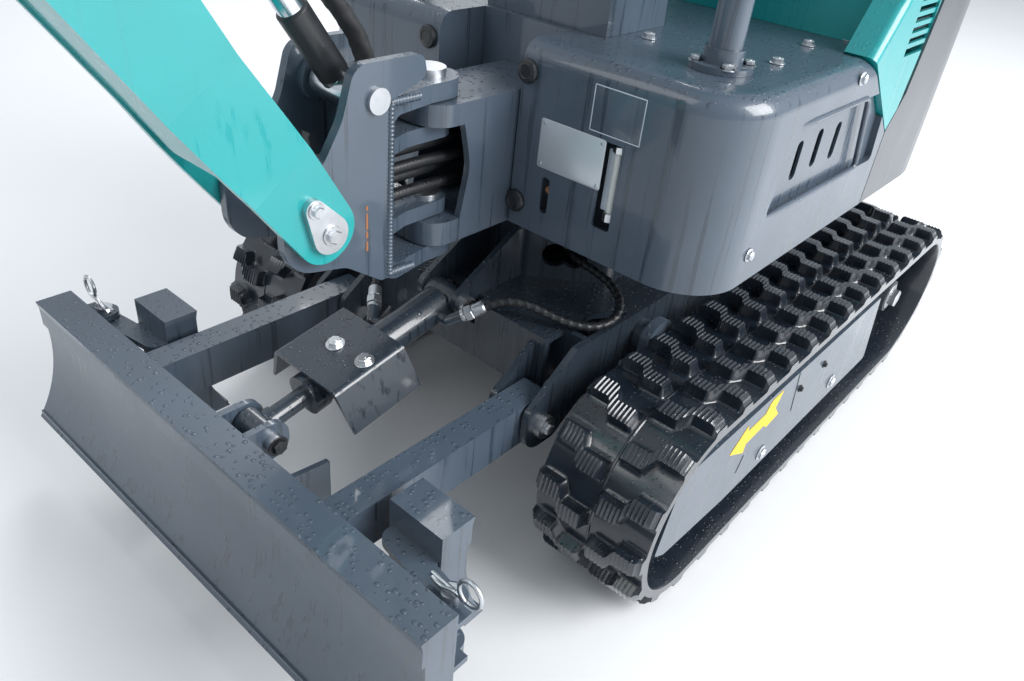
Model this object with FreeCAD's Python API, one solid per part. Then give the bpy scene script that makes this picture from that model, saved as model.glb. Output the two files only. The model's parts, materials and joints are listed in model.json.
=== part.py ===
"""A compact tracked excavator with a folding-wing dozer blade, built as separate pieces.

Sizes are in millimetres. +X is the machine's left, -Y is forward and +Z is up.
Places are written as (forward, up) in side view, (x, forward) in plan view and (x, up) in
front view, counted from the slewing axis and from the ground. The last step moves every
piece so that the origin lies on the ground under the middle of the machine's box.
"""
import FreeCAD, Part
import math
import os

# Driving dimensions: tracks
TRACK_OUTER = 455.0
TRACK_WIDTH = 180.0
TRACK_WHEEL_FORWARD = 426.0
BELT_RADIUS = 143.0
BELT_THICKNESS = 14.0
LUG_HEIGHT = 20.0
LUG_COUNT = 36
LUG_SEAT = 3.0
SEAT_GAP = 0.3
IDLER_WIDTH = 84.0
ROLLER_RADIUS = 40.0
ROLLER_SPACING = 190.0
FRAME_BEAM_WIDTH = 70.0
SIDE_PLATE_THICKNESS = 6.0
SLIDE_TUBE_RADIUS = 24.0
SLIDE_TUBE_FORWARD = 285.0
SLIDE_TUBE_UP = 285.0
SLIDE_TUBE_END = 266.0
AXLE_RADIUS = 16.0
MOTOR_RADIUS = 52.0

# Driving dimensions: carbody
DECK_UP = 330.0
DECK_HALF_WIDTH = 232.0
DECK_FORWARD = 474.0
DECK_SHOULDER = 304.0
DECK_BACK = -330.0
CARBODY_DEPTH = 98.0
PLATE = 10.0
TURRET_TOP = 430.0
RING_RADIUS = 175.0
RING_HEIGHT = 15.0
RING_GAP = 0.5

# Driving dimensions: dozer blade, its arms and its folding wings
ARM_PIVOT = (519.0, 228.0)
ARM_INNER = 174.0
ARM_WIDTH = 44.0
ARM_TOP = 268.0
ARM_DEPTH = 66.0
ARM_WALL = 6.0
CHEEK_GAP = 4.0
CHEEK_THICKNESS = 10.0
DOZER_PIN_RADIUS = 12.0
BLADE_HALF_WIDTH = 404.0
BLADE_TOP = 289.0
BLADE_BOTTOM = 95.0
BLADE_BACK = 867.0
BLADE_FRONT = 918.0
BLADE_TOE = 952.0
BLADE_HOLLOW = 22.0
BLADE_SKIN = 8.0
BLADE_BOX_DEPTH = 40.0
WING_WIDTH = 85.0
WING_HINGE_X = 367.0
WING_HINGE_FORWARD = 839.0
WING_REACH = 42.0
WING_PIN_RADIUS = 8.0
WING_LEVELS = (252.0, 180.0)
HINGE_PLATE = 9.0
HINGE_RADIUS = 19.0
BLADE_REACH = 41.0
BLADE_PIN = (825.0, 250.0)
EAR_INNER = 23.0
BASE_EAR_INNER = 30.0
NOTCH_CLEARANCE = 8.0
ROD_PIN_RADIUS = 11.0
BLADE_CYLINDER_BASE = (485.0, 320.0)

# Driving dimensions: house
HOUSE_FLOOR = 450.0
HOUSE_FRONT = 424.0
HOUSE_HALF_WIDTH = 378.0
HOUSE_BACK = -560.0
HOUSE_CORNER = 90.0
TAIL_CORNER = 260.0
DECK_PLATE_UP = 705.0
COVER_SHEET = 4.0
COVER_EDGE = 26.0
LEFT_COVER_X = 56.0
RIGHT_COVER_X = -99.0
COVER_BACK = -22.0
COVER_END = -101.0
SEAM_GAP = 3.0
FLOOR_THICKNESS = 12.0
POST_BACK = 300.0
RECESS_WALL = 326.0
RECESS_DEPTH = 10.0
CONSOLE_FRONT = 320.0
CONSOLE_TOP = 1120.0
CONSOLE_HALF_WIDTH = 107.0
SEAT_BASE_BACK = -205.0
REAR_CORNER = 140.0
BONNET_HALF = 170.0
ROOF_HALF_WIDTH = 380.0
ROOF_FRONT = 400.0
ROOF_BACK = -470.0

# Side recess of the front covers with its slots, and the slots in the left cover's front
RECESS = [(300, 541, 8), (262, 655, 8), (-52, 650, 8), (-75, 534, 8)]
RECESS_OUTER = [(306, 535, 8), (267, 661, 8), (-57, 656, 8), (-82, 528, 8)]
RECESS_SLOTS = [(281, 592), (221, 597), (159, 601), (94, 598)]
RECESS_SLOT_HALF = (9.0, 27.0)
FRONT_SLOTS = [(198, 226, 497, 614), (108, 122, 484, 536)]
GRILLE = (-150.0, -62.0, 695.0, 785.0)
HOOD_TOP = 1005.0
HOOD_HALF_WIDTH = 328.0
TAIL_TOP = 800.0
TAIL_THICKNESS = 60.0
POST_X = 272.0
FRONT_POST = 304.0
REAR_POST = -385.0
POST_RADIUS = 21.0
ROOF_UP = 2160.0
ROOF_THICKNESS = 46.0

# Driving dimensions: swing post and bracket
KING_FORWARD = 540.0
KING_RADIUS = 20.0
KING_HEAD_RADIUS = 22.0
SWING_POST_HALF_WIDTH = 53.0
SWING_POST_TOP = 640.0
NOSE_RADIUS = 38.0
NOSE_LEVELS = ((449.0, 482.0), (612.0, 640.0))
LUG_PLATE = 20.0
LUG_CLEARANCE = 2.0
BRACKET_HALF_WIDTH = 60.0
BRACKET_PLATE = 12.0
BRACKET_BACK = 642.0
FOOT = (759.0, 541.0)
UPPER_PIN = (675.0, 670.0)
FOOT_PIN_RADIUS = 18.0
KEEPER_RADII = (23.0, 12.0)
KEEPER_REACH = 40.0
KEEPER_ANGLE = 60.0
BRACKET_SIDE = [(606, 712, 14), (706, 712, 24), (724, 655, 60), (750, 614, 20), (806, 586, 44),
                (806, 496, 44), (722, 478, 30), (668, 441, 10), (654, 441), (654, 666, 6),
                (600, 686, 10)]

# Driving dimensions: boom, arm and bucket
BOOM_RISE = 55.6
BOOM_LOWER_LENGTH = 560.0
BOOM_UPPER_RISE = 18.0
BOOM_UPPER_LENGTH = 636.0
BOOM_HALF_DEPTH = 45.0
BOOM_BEND_HALF_DEPTH = 66.0
BOOM_TIP_RADIUS = 40.0
BOOM_HALF_WIDTH = 50.0
BOOM_SIDE = 8.0
FOOT_PLATE_X = 62.0
FOOT_PLATE = 12.0
FOOT_RADIUS = 37.0
BOOM_EAR = 33.0
BOOM_CYLINDER_LENGTH = 541.0
ARM_RISE = -92.0
LEVER_LENGTH = 120.0
LEVER_ANGLE = 25.0
ARM_LENGTH = 720.0
STICK_HALF_WIDTH = 38.0
STICK_SIDE = 6.0
BUCKET_BASE_ALONG = 128.0
ROCKER_SETBACK = 156.0
ROCKER_OFF = 54.0
ROCKER_X = 40.0
LINK_X = 28.0
LINK_HALF = 12.0
HORN_LENGTH = 114.0
HORN_ANGLE = 28.0
HORN_SPREAD = 122.0
OPEN_PIVOT_GAP = 0.5
BUCKET_EAR = 27.0
BUCKET_CHEEK = 40.0
BUCKET_EAR_PLATE = 12.0
BUCKET_PIN_RADIUS = 14.0
BUCKET_REACH = 370.0
TOOTH_COUNT = 4
BUCKET_HALF_WIDTH = 150.0
BUCKET_SKIN = 7.0
BUCKET_SIDE = 8.0
BOOM_PIN_RADIUS = 15.0
EYE_RADIUS = 22.0
PIN_GAP = 0.05

# Driving dimensions: hoses and their fittings
BLADE_HOSE_RADIUS = 7.5
POST_HOSE_RADIUS = 8.0
SLEEVE_RADIUS = 16.0
SLEEVE_FOOT = 634.0
SLEEVE_CLEARANCE = 3.0
BULKHEAD_ALONG = 552.0
FERRULE_RADIUS = 9.5
FERRULE_LENGTH = 62.0
TURRET_SLOT_UP = 371.0
TURRET_SLOT_RADIUS = 20.0
HOSE_WINDOW = (-30.0, 30.0, 508.0, 585.0)
BORE_GAP = 0.05


def at(x, forward, up):
    return FreeCAD.Vector(x, -forward, up)


def face_of(corners, place):
    """Flat face through corners (a, b) or (a, b, radius); a radius rounds that corner."""
    count = len(corners)
    edges = []
    ends = []
    for i, corner in enumerate(corners):
        here = FreeCAD.Vector(corner[0], corner[1], 0)
        before = FreeCAD.Vector(corners[i - 1][0], corners[i - 1][1], 0)
        after = FreeCAD.Vector(corners[(i + 1) % count][0], corners[(i + 1) % count][1], 0)
        radius = corner[2] if len(corner) > 2 else 0.0
        if radius <= 0:
            ends.append((here, here, None))
            continue
        to_before = (before - here).normalize()
        to_after = (after - here).normalize()
        half = to_before.getAngle(to_after) / 2
        tangent = radius / math.tan(half)
        middle = (to_before + to_after).normalize() * (radius / math.sin(half) - radius)
        ends.append((here + to_before * tangent, here + to_after * tangent, here + middle))
    for i, (first, last, middle) in enumerate(ends):
        if middle is not None:
            edges.append(Part.Arc(place(first.x, first.y), place(middle.x, middle.y),
                                  place(last.x, last.y)).toShape())
        start = ends[(i + 1) % count][0]
        if (start - last).Length > 1e-6:
            edges.append(Part.LineSegment(place(last.x, last.y), place(start.x, start.y)).toShape())
    return Part.Face(Part.Wire(edges))


def side_plate(corners, x0, x1):
    """Side-view outline (forward, up), as thick as from x0 to x1."""
    return face_of(corners, lambda a, b: at(x0, a, b)).extrude(FreeCAD.Vector(x1 - x0, 0, 0))


def flat_plate(corners, z0, z1):
    """Plan-view outline (x, forward), as thick as from z0 to z1."""
    return face_of(corners, lambda a, b: at(a, b, z0)).extrude(FreeCAD.Vector(0, 0, z1 - z0))


def front_plate(corners, f0, f1):
    """Front-view outline (x, up), as thick as from forward place f0 to f1."""
    return face_of(corners, lambda a, b: at(a, f0, b)).extrude(FreeCAD.Vector(0, f0 - f1, 0))


def block(x0, x1, f0, f1, z0, z1):
    return Part.makeBox(x1 - x0, f1 - f0, z1 - z0, at(x0, f1, z0))


def rod(start, end, radius):
    return Part.makeCylinder(radius, (end - start).Length, start, end - start)


def cross_rod(place, radius, x0, x1):
    """Round bar across the machine at a side-view place."""
    return rod(at(x0, place[0], place[1]), at(x1, place[0], place[1]), radius)


def upright(x, forward, radius, z0, z1):
    return rod(at(x, forward, z0), at(x, forward, z1), radius)


def joined(*shapes):
    return shapes[0].fuse(list(shapes[1:])).removeSplitter()


def group(*shapes):
    """Solids of one node that don't touch."""
    return Part.makeCompound(list(shapes))


def mirrored(shape):
    return shape.mirror(FreeCAD.Vector(0, 0, 0), FreeCAD.Vector(1, 0, 0))


def along_line(origin, angle, along, off):
    """Side-view place at a distance along a line and off to its upper side."""
    a = math.radians(angle)
    return (origin[0] + along * math.cos(a) - off * math.sin(a),
            origin[1] + along * math.sin(a) + off * math.cos(a))


def local_outline(origin, angle, corners):
    """Corners (along, off[, radius]) of a line's own frame as side-view corners."""
    return [along_line(origin, angle, c[0], c[1]) + tuple(c[2:]) for c in corners]


def bent_tube(points, radii, radius):
    """Round bar along straight runs, with tangent arcs of the given radii at the inner points."""
    solids = []
    last = points[0]
    for i in range(1, len(points) - 1):
        here = points[i]
        before = (points[i - 1] - here).normalize()
        after = (points[i + 1] - here).normalize()
        half = before.getAngle(after) / 2
        tangent = radii[i - 1] / math.tan(half)
        start, end = here + before * tangent, here + after * tangent
        axis = before.cross(after).normalize()
        center = here + (before + after).normalize() * (radii[i - 1] / math.sin(half))
        solids.append(rod(last, start, radius))
        section = Part.Face(Part.Wire(Part.makeCircle(radius, start, before)))
        solids.append(section.revolve(center, axis * -1, 180 - math.degrees(2 * half)))
        last = end
    solids.append(rod(last, points[-1], radius))
    return solids[0].fuse(solids[1:])


def hose(name, points, radius):
    """Tube through points (x, forward, up); each arc is as large as its two runs allow."""
    places = [at(*p) for p in points]
    radii = []
    for i in range(1, len(places) - 1):
        before = places[i - 1] - places[i]
        after = places[i + 1] - places[i]
        half = before.getAngle(after) / 2
        radii.append(0.45 * min(before.Length, after.Length) * math.tan(half))
    tube = bent_tube(places, radii, radius)
    print(name, "smallest radius", round(min(radii), 1), "length", round(tube.Volume / math.pi / radius ** 2))
    return tube


# Tracks, wheels and track frames
BELT_UP = BELT_RADIUS + LUG_HEIGHT
TRACK_INNER = TRACK_OUTER - TRACK_WIDTH
TRACK_MIDDLE = TRACK_OUTER - TRACK_WIDTH / 2
WHEEL_RADIUS = BELT_RADIUS - BELT_THICKNESS - SEAT_GAP

# One lug seen on the belt: across from the belt's middle to its edge, along the belt
LUG_OUTLINE = [(88.0, -13.0), (90.0, 11.0), (48.0, 14.0), (8.0, 28.0), (4.0, 9.0), (44.0, -11.0)]


def stadium(radius, x0, x1):
    """Solid loop shape of two wheels' radius and the runs between them."""
    f = TRACK_WHEEL_FORWARD
    middle = block(x0, x1, -f, f, BELT_UP - radius, BELT_UP + radius)
    front = cross_rod((f, BELT_UP), radius, x0, x1)
    back = cross_rod((-f, BELT_UP), radius, x0, x1)
    return joined(middle, front, back)


def belt_place(distance):
    """Side-view place and outward direction on the belt's face, from the top rear tangent."""
    f = TRACK_WHEEL_FORWARD
    run = 2 * f
    arc = math.pi * BELT_RADIUS
    distance = distance % (2 * run + 2 * arc)
    if distance < run:
        return (-f + distance, BELT_UP + BELT_RADIUS), math.pi / 2
    distance -= run
    if distance < arc:
        a = math.pi / 2 - distance / BELT_RADIUS
        return (f + BELT_RADIUS * math.cos(a), BELT_UP + BELT_RADIUS * math.sin(a)), a
    distance -= arc
    if distance < run:
        return (f - distance, BELT_UP - BELT_RADIUS), -math.pi / 2
    distance -= run
    a = -math.pi / 2 - distance / BELT_RADIUS
    return (-f + BELT_RADIUS * math.cos(a), BELT_UP + BELT_RADIUS * math.sin(a)), a


def lug(distance, side):
    """One lug on the left track; side is 1 for the outer row and -1 for the inner row."""
    (forward, up), out = belt_place(distance)
    normal = FreeCAD.Vector(0, -math.cos(out), math.sin(out))
    along = FreeCAD.Vector(0, -math.sin(out), -math.cos(out))
    foot = at(TRACK_MIDDLE, forward, up) - normal * LUG_SEAT

    def place(a, b):
        return foot + FreeCAD.Vector(side * a, 0, 0) + along * b
    return face_of(LUG_OUTLINE, place).extrude(normal * (LUG_HEIGHT + LUG_SEAT))


def track_left():
    belt = stadium(BELT_RADIUS, TRACK_INNER, TRACK_OUTER)
    belt = belt.cut(stadium(BELT_RADIUS - BELT_THICKNESS, TRACK_INNER - 1, TRACK_OUTER + 1))
    length = 4 * TRACK_WHEEL_FORWARD + 2 * math.pi * BELT_RADIUS
    pitch = length / LUG_COUNT
    reach = stadium(BELT_RADIUS + LUG_HEIGHT, TRACK_INNER - 1, TRACK_OUTER + 1)
    lugs = []
    for i in range(LUG_COUNT):
        for distance, side in ((i * pitch, 1), ((i + 0.5) * pitch, -1)):
            lugs.append(lug(distance, side).common(reach))
    return belt.fuse(lugs)


def idler_left():
    f = TRACK_WHEEL_FORWARD
    half = IDLER_WIDTH / 2
    rim = cross_rod((f, BELT_UP), WHEEL_RADIUS, TRACK_MIDDLE - half, TRACK_MIDDLE + half)
    for x0, x1 in ((TRACK_MIDDLE + half - 22, TRACK_MIDDLE + half + 1),
                   (TRACK_MIDDLE - half - 1, TRACK_MIDDLE - half + 22)):
        rim = rim.cut(cross_rod((f, BELT_UP), WHEEL_RADIUS - 18, x0, x1))
    hub = cross_rod((f, BELT_UP), 42, TRACK_MIDDLE - half - 5, TRACK_MIDDLE + half + 5)
    axle = cross_rod((f, BELT_UP), AXLE_RADIUS, TRACK_MIDDLE - half - 20, TRACK_MIDDLE + half + 20)
    return joined(rim, hub, axle)


def sprocket_left():
    f = -TRACK_WHEEL_FORWARD
    teeth = 11
    disc = cross_rod((f, BELT_UP), WHEEL_RADIUS, TRACK_MIDDLE - 14, TRACK_MIDDLE + 14)
    gaps = []
    for i in range(teeth):
        a = 2 * math.pi * (i + 0.5) / teeth
        place = (f + WHEEL_RADIUS * math.cos(a), BELT_UP + WHEEL_RADIUS * math.sin(a))
        gaps.append(cross_rod(place, 17, TRACK_MIDDLE - 15, TRACK_MIDDLE + 15))
    disc = disc.cut(gaps)
    hub = cross_rod((f, BELT_UP), 62, TRACK_MIDDLE - 40, TRACK_MIDDLE + 34)
    motor = cross_rod((f, BELT_UP), MOTOR_RADIUS, TRACK_INNER - 8, TRACK_MIDDLE - 30)
    cap = cross_rod((f, BELT_UP), 34, TRACK_MIDDLE + 20, TRACK_MIDDLE + 52)
    return joined(disc, hub, motor, cap)


def rollers_left():
    up = BELT_UP - BELT_RADIUS + BELT_THICKNESS + ROLLER_RADIUS + SEAT_GAP
    solids = []
    for i in (-1, 0, 1):
        place = (i * ROLLER_SPACING, up)
        solids.append(joined(
            cross_rod(place, ROLLER_RADIUS, TRACK_MIDDLE - 46, TRACK_MIDDLE - 22),
            cross_rod(place, ROLLER_RADIUS, TRACK_MIDDLE + 22, TRACK_MIDDLE + 46),
            cross_rod(place, ROLLER_RADIUS - 10, TRACK_MIDDLE - 46, TRACK_MIDDLE + 46),
            cross_rod(place, 14, TRACK_MIDDLE - 58, TRACK_MIDDLE + 58)))
    return group(*solids)


def track_frame_left():
    half = FRAME_BEAM_WIDTH / 2
    x0 = TRACK_MIDDLE - half
    x1 = TRACK_MIDDLE + half
    beam_low = BELT_UP - 30
    beam_high = BELT_UP + 72
    beam = side_plate([(-270, beam_low), (270, beam_low), (270, beam_high, 20),
                       (-250, beam_high, 20)], x0, x1)
    pieces = [beam]
    fork = IDLER_WIDTH / 2 + 7
    end = TRACK_WHEEL_FORWARD
    for side in (1, -1):
        low, high = sorted((TRACK_MIDDLE + side * fork, TRACK_MIDDLE + side * (fork + 10)))
        pieces.append(side_plate([(240, BELT_UP - 26), (end + 26, BELT_UP - 26, 25),
                                  (end + 26, BELT_UP + 26, 25), (240, BELT_UP + 26)], low, high))
        low, high = sorted((TRACK_MIDDLE + side * (half - 1), TRACK_MIDDLE + side * (fork + 10)))
        pieces.append(block(low, high, 236, 266, BELT_UP - 26, BELT_UP + 26))
    low, high = TRACK_MIDDLE - fork - 10, TRACK_MIDDLE - fork
    pieces.append(side_plate([(-236, BELT_UP - 60), (-end - 66, BELT_UP - 66, 60),
                              (-end - 66, BELT_UP + 66, 60), (-236, BELT_UP + 60)], low, high))
    pieces.append(block(low, TRACK_MIDDLE - half + 1, -268, -236, BELT_UP - 26, BELT_UP + 60))
    roller_up = BELT_UP - BELT_RADIUS + BELT_THICKNESS + ROLLER_RADIUS + SEAT_GAP
    for i in (-1, 0, 1):
        for side in (1, -1):
            x = TRACK_MIDDLE + side * 48
            edge = block(min(x, x + side * 9), max(x, x + side * 9), i * ROLLER_SPACING - 22,
                         i * ROLLER_SPACING + 22, roller_up - 18, beam_low + 30)
            web = block(*sorted((TRACK_MIDDLE + side * (half - 1), x + side * 9)),
                        i * ROLLER_SPACING - 22, i * ROLLER_SPACING + 22,
                        beam_low + 4, beam_low + 30)
            pieces.extend((edge, web))
    outer = TRACK_OUTER - 7
    plate = side_plate([(528, 138, 8), (505, 246, 30), (470, 262, 20), (-196, 262, 6),
                        (-248, 104, 6), (330, 108, 30), (500, 122, 20)],
                       outer - SIDE_PLATE_THICKNESS, outer)
    pieces.append(plate)
    for forward in (219, -54, 100):
        pieces.append(cross_rod((forward, BELT_UP + 10), 16, x1 - 1, outer - 1))
    for forward in (SLIDE_TUBE_FORWARD, -SLIDE_TUBE_FORWARD):
        high = SLIDE_TUBE_UP + SLIDE_TUBE_RADIUS + 9
        inward = TRACK_INNER - 9
        hanger = side_plate([(forward - 46, BELT_UP), (forward + 46, BELT_UP),
                             (forward + 34, high, 30), (forward - 34, high, 30)],
                            inward - 16, inward)
        near, far = sorted((forward - math.copysign(40, forward), forward + math.copysign(4, forward)))
        arm = block(inward - 16, TRACK_MIDDLE - half + 1, near, far, BELT_UP + 4, BELT_UP + 54)
        near = math.copysign(262, forward)
        tie = block(TRACK_MIDDLE - half - 12, TRACK_MIDDLE + half, *sorted((near, forward)),
                    BELT_UP + 4, BELT_UP + 54)
        pieces.extend((hanger, arm, tie))
    frame = joined(*pieces)
    for forward in (SLIDE_TUBE_FORWARD, -SLIDE_TUBE_FORWARD):
        frame = frame.cut(cross_rod((forward, SLIDE_TUBE_UP), SLIDE_TUBE_RADIUS + BORE_GAP,
                                    TRACK_INNER - 40, TRACK_INNER))
    for i in (-1, 0, 1):
        frame = frame.cut(cross_rod((i * ROLLER_SPACING, roller_up), 14 + BORE_GAP,
                                    TRACK_MIDDLE - 59, TRACK_MIDDLE + 59))
    frame = frame.cut(cross_rod((end, BELT_UP), AXLE_RADIUS + BORE_GAP,
                                TRACK_MIDDLE - 70, TRACK_MIDDLE + 70))
    return frame.cut(cross_rod((-end, BELT_UP), MOTOR_RADIUS + BORE_GAP,
                               TRACK_MIDDLE - 70, TRACK_MIDDLE - 40))


def slide_tubes():
    reach = SLIDE_TUBE_END
    return group(*[cross_rod((f, SLIDE_TUBE_UP), SLIDE_TUBE_RADIUS, -reach, reach)
                   for f in (SLIDE_TUBE_FORWARD, -SLIDE_TUBE_FORWARD)])


# Carbody with deck, turret, arm brackets and cylinder ears
def carbody():
    low = DECK_UP - CARBODY_DEPTH
    deck = flat_plate([(-187, DECK_FORWARD), (187, DECK_FORWARD), (187, DECK_SHOULDER + 60, 30),
                       (DECK_HALF_WIDTH, DECK_SHOULDER), (DECK_HALF_WIDTH, DECK_BACK),
                       (-DECK_HALF_WIDTH, DECK_BACK), (-DECK_HALF_WIDTH, DECK_SHOULDER),
                       (-187, DECK_SHOULDER + 60, 30)], DECK_UP - PLATE, DECK_UP)
    front = block(-187, 187, DECK_FORWARD - PLATE, DECK_FORWARD, low, DECK_UP)
    back = block(-DECK_HALF_WIDTH, DECK_HALF_WIDTH, DECK_BACK, DECK_BACK + PLATE, low, DECK_UP)
    bottom = flat_plate([(-170, DECK_FORWARD), (170, DECK_FORWARD), (170, DECK_BACK),
                         (-170, DECK_BACK)], low, low + PLATE)
    pieces = [deck, front, back, bottom]
    for side in (1, -1):
        x0, x1 = sorted((side * DECK_HALF_WIDTH, side * (DECK_HALF_WIDTH - PLATE)))
        pieces.append(block(x0, x1, DECK_BACK, DECK_SHOULDER, low, DECK_UP))
        x0, x1 = sorted((side * 160, side * 170))
        pieces.append(block(x0, x1, DECK_BACK, DECK_FORWARD, low, DECK_UP - 1))
        inner = ARM_INNER - CHEEK_GAP
        outer = ARM_INNER + ARM_WIDTH + CHEEK_GAP
        forward, up = ARM_PIVOT
        cheek = [(DECK_SHOULDER - 40, DECK_UP), (DECK_SHOULDER - 40, low), (430, low, 30),
                 (forward - 30, up - 36), (forward + 36, up - 36, 35),
                 (forward + 36, up + 34, 20), (457, DECK_UP, 14)]
        for x0, x1 in ((inner - CHEEK_THICKNESS, inner), (outer, outer + CHEEK_THICKNESS)):
            a, b = sorted((side * x0, side * x1))
            pieces.append(side_plate(cheek, a, b))
        x0, x1 = sorted((side * (inner - 1), side * (outer + 1)))
        pieces.append(block(x0, x1, DECK_FORWARD - 52, DECK_FORWARD - 42, low + 10, DECK_UP))
    turret = [(-46, 356, 20), (46, 356, 20), (150, 272, 30), (160, -230, 40),
              (60, -300, 30), (-60, -300, 30), (-160, -230, 40), (-150, 272, 30)]
    wall = flat_plate(turret, DECK_UP, TURRET_TOP)
    inner_turret = [(c[0] * 0.94, c[1] * 0.965, c[2]) for c in turret]
    wall = wall.cut(flat_plate(inner_turret, DECK_UP - 1, TURRET_TOP - PLATE))
    pieces.append(wall)
    body = joined(*pieces)
    forward, up = BLADE_CYLINDER_BASE
    ear_outer = BASE_EAR_INNER + PLATE
    notch = ear_outer + PLATE + 2
    body = body.cut(block(-notch, notch, forward - EYE_RADIUS - NOTCH_CLEARANCE, DECK_FORWARD + 1,
                          up - EYE_RADIUS - NOTCH_CLEARANCE, DECK_UP + 1))
    ears = []
    for side in (1, -1):
        x0, x1 = sorted((side * BASE_EAR_INNER, side * ear_outer))
        ears.append(side_plate([(332, DECK_UP - 6), (DECK_FORWARD - 6, DECK_UP - 6),
                                (forward + 22, up - 24, 16), (forward + 22, up + 22, 16),
                                (352, TURRET_TOP - 2), (332, TURRET_TOP - 2)], x0, x1))
    body = joined(body, *ears)
    z, r = TURRET_SLOT_UP, TURRET_SLOT_RADIUS
    slot = rod(at(60, 300, z), at(150, 430, z), r).fuse(rod(at(84, 280, z), at(174, 410, z), r))
    body = body.cut(slot).cut(mirrored(slot))
    body = body.cut(cross_rod(ARM_PIVOT, DOZER_PIN_RADIUS + BORE_GAP, -300, 300))
    body = body.cut(cross_rod(BLADE_CYLINDER_BASE, DOZER_PIN_RADIUS + BORE_GAP, -60, 60))
    for forward in (SLIDE_TUBE_FORWARD, -SLIDE_TUBE_FORWARD):
        body = body.cut(cross_rod((forward, SLIDE_TUBE_UP), SLIDE_TUBE_RADIUS + BORE_GAP,
                                  -DECK_HALF_WIDTH - 20, DECK_HALF_WIDTH + 20))
    return body


def slew_ring():
    ring = upright(0, 0, RING_RADIUS, TURRET_TOP, TURRET_TOP + RING_HEIGHT)
    return ring.cut(upright(0, 0, RING_RADIUS - 35, TURRET_TOP - 1, TURRET_TOP + RING_HEIGHT + 1))


def dozer_pins():
    solids = []
    inner = ARM_INNER - CHEEK_GAP - CHEEK_THICKNESS
    outer = ARM_INNER + ARM_WIDTH + CHEEK_GAP + CHEEK_THICKNESS
    for side in (1, -1):
        a, b = sorted((side * (inner - 4), side * (outer + 3)))
        pin = cross_rod(ARM_PIVOT, DOZER_PIN_RADIUS, a, b)
        a, b = sorted((side * outer, side * (outer + 9)))
        solids.append(joined(pin, cross_rod(ARM_PIVOT, DOZER_PIN_RADIUS + 6, a, b)))
    ear_outer = BASE_EAR_INNER + PLATE
    pin = cross_rod(BLADE_CYLINDER_BASE, DOZER_PIN_RADIUS, -ear_outer - 5, ear_outer + 4)
    head = cross_rod(BLADE_CYLINDER_BASE, DOZER_PIN_RADIUS + 5, ear_outer, ear_outer + 8)
    solids.append(joined(pin, head))
    return group(*solids)


# Dozer blade
def blade_skin(front, toe, top, bottom, x0, x1, direction):
    """Hollow-faced plate: an arc in side view, direction 1 when it faces forward."""
    hollow = direction * BLADE_HOLLOW
    skin = direction * BLADE_SKIN
    middle = ((front + toe) / 2 - hollow, (top + bottom) / 2)
    edges = [
        Part.Arc(at(x0, front, top), at(x0, *middle), at(x0, toe, bottom)).toShape(),
        Part.LineSegment(at(x0, toe, bottom), at(x0, toe - skin, bottom)).toShape(),
        Part.Arc(at(x0, toe - skin, bottom), at(x0, middle[0] - skin, middle[1]),
                 at(x0, front - skin, top)).toShape(),
        Part.LineSegment(at(x0, front - skin, top), at(x0, front, top)).toShape()]
    return Part.Face(Part.Wire(edges)).extrude(FreeCAD.Vector(x1 - x0, 0, 0))


def blade_end(back, front, toe, top, bottom, x0, x1, direction):
    """End plate that closes the blade's section."""
    hollow = direction * BLADE_HOLLOW
    middle = ((front + toe) / 2 - hollow, (top + bottom) / 2)
    heel = toe - direction * 34
    edges = [
        Part.Arc(at(x0, front, top), at(x0, *middle), at(x0, toe, bottom)).toShape(),
        Part.LineSegment(at(x0, toe, bottom), at(x0, heel, bottom)).toShape(),
        Part.LineSegment(at(x0, heel, bottom), at(x0, back, bottom + 70)).toShape(),
        Part.LineSegment(at(x0, back, bottom + 70), at(x0, back, top)).toShape(),
        Part.LineSegment(at(x0, back, top), at(x0, front, top)).toShape()]
    return Part.Face(Part.Wire(edges)).extrude(FreeCAD.Vector(x1 - x0, 0, 0))


def blade_section(x0, x1, direction, mirror_forward):
    """Blade section between two places; mirror_forward folds it over about that line."""
    def f(value):
        return value if direction == 1 else 2 * mirror_forward - value
    back, front, toe = f(BLADE_BACK), f(BLADE_FRONT), f(BLADE_TOE)
    top, bottom = BLADE_TOP, BLADE_BOTTOM
    skin = blade_skin(front, toe, top, bottom, x0, x1, direction)
    ends = [blade_end(back, front, toe, top, bottom, a, b, direction)
            for a, b in ((x0, x0 + 8), (x1 - 8, x1))]
    low, high = sorted((back, front - direction * 3))
    box = block(x0, x1, low, high, top - BLADE_BOX_DEPTH, top)
    inner = block(x0 + 8, x1 - 8, low + 6, high - 6, top - BLADE_BOX_DEPTH + 6, top - 6)
    box = box.cut(inner)
    low, high = sorted((toe - direction * 34, toe - direction * 3))
    edge = block(x0, x1, low, high, bottom, bottom + 10)
    return joined(skin, box, edge, *ends)


def dozer_arm(side):
    forward, up = ARM_PIVOT
    a, b = sorted((side * ARM_INNER, side * (ARM_INNER + ARM_WIDTH)))
    low = ARM_TOP - ARM_DEPTH
    end = BLADE_BACK + BLADE_REACH
    arm = side_plate([(forward - 30, low + 8, 16), (forward - 30, ARM_TOP, 10),
                      (end, ARM_TOP), (end, low), (forward, low, 10)], a, b)
    return arm.cut(block(a + ARM_WALL, b - ARM_WALL, forward + 34, BLADE_BACK - 12,
                         low + ARM_WALL, ARM_TOP - ARM_WALL))


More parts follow.
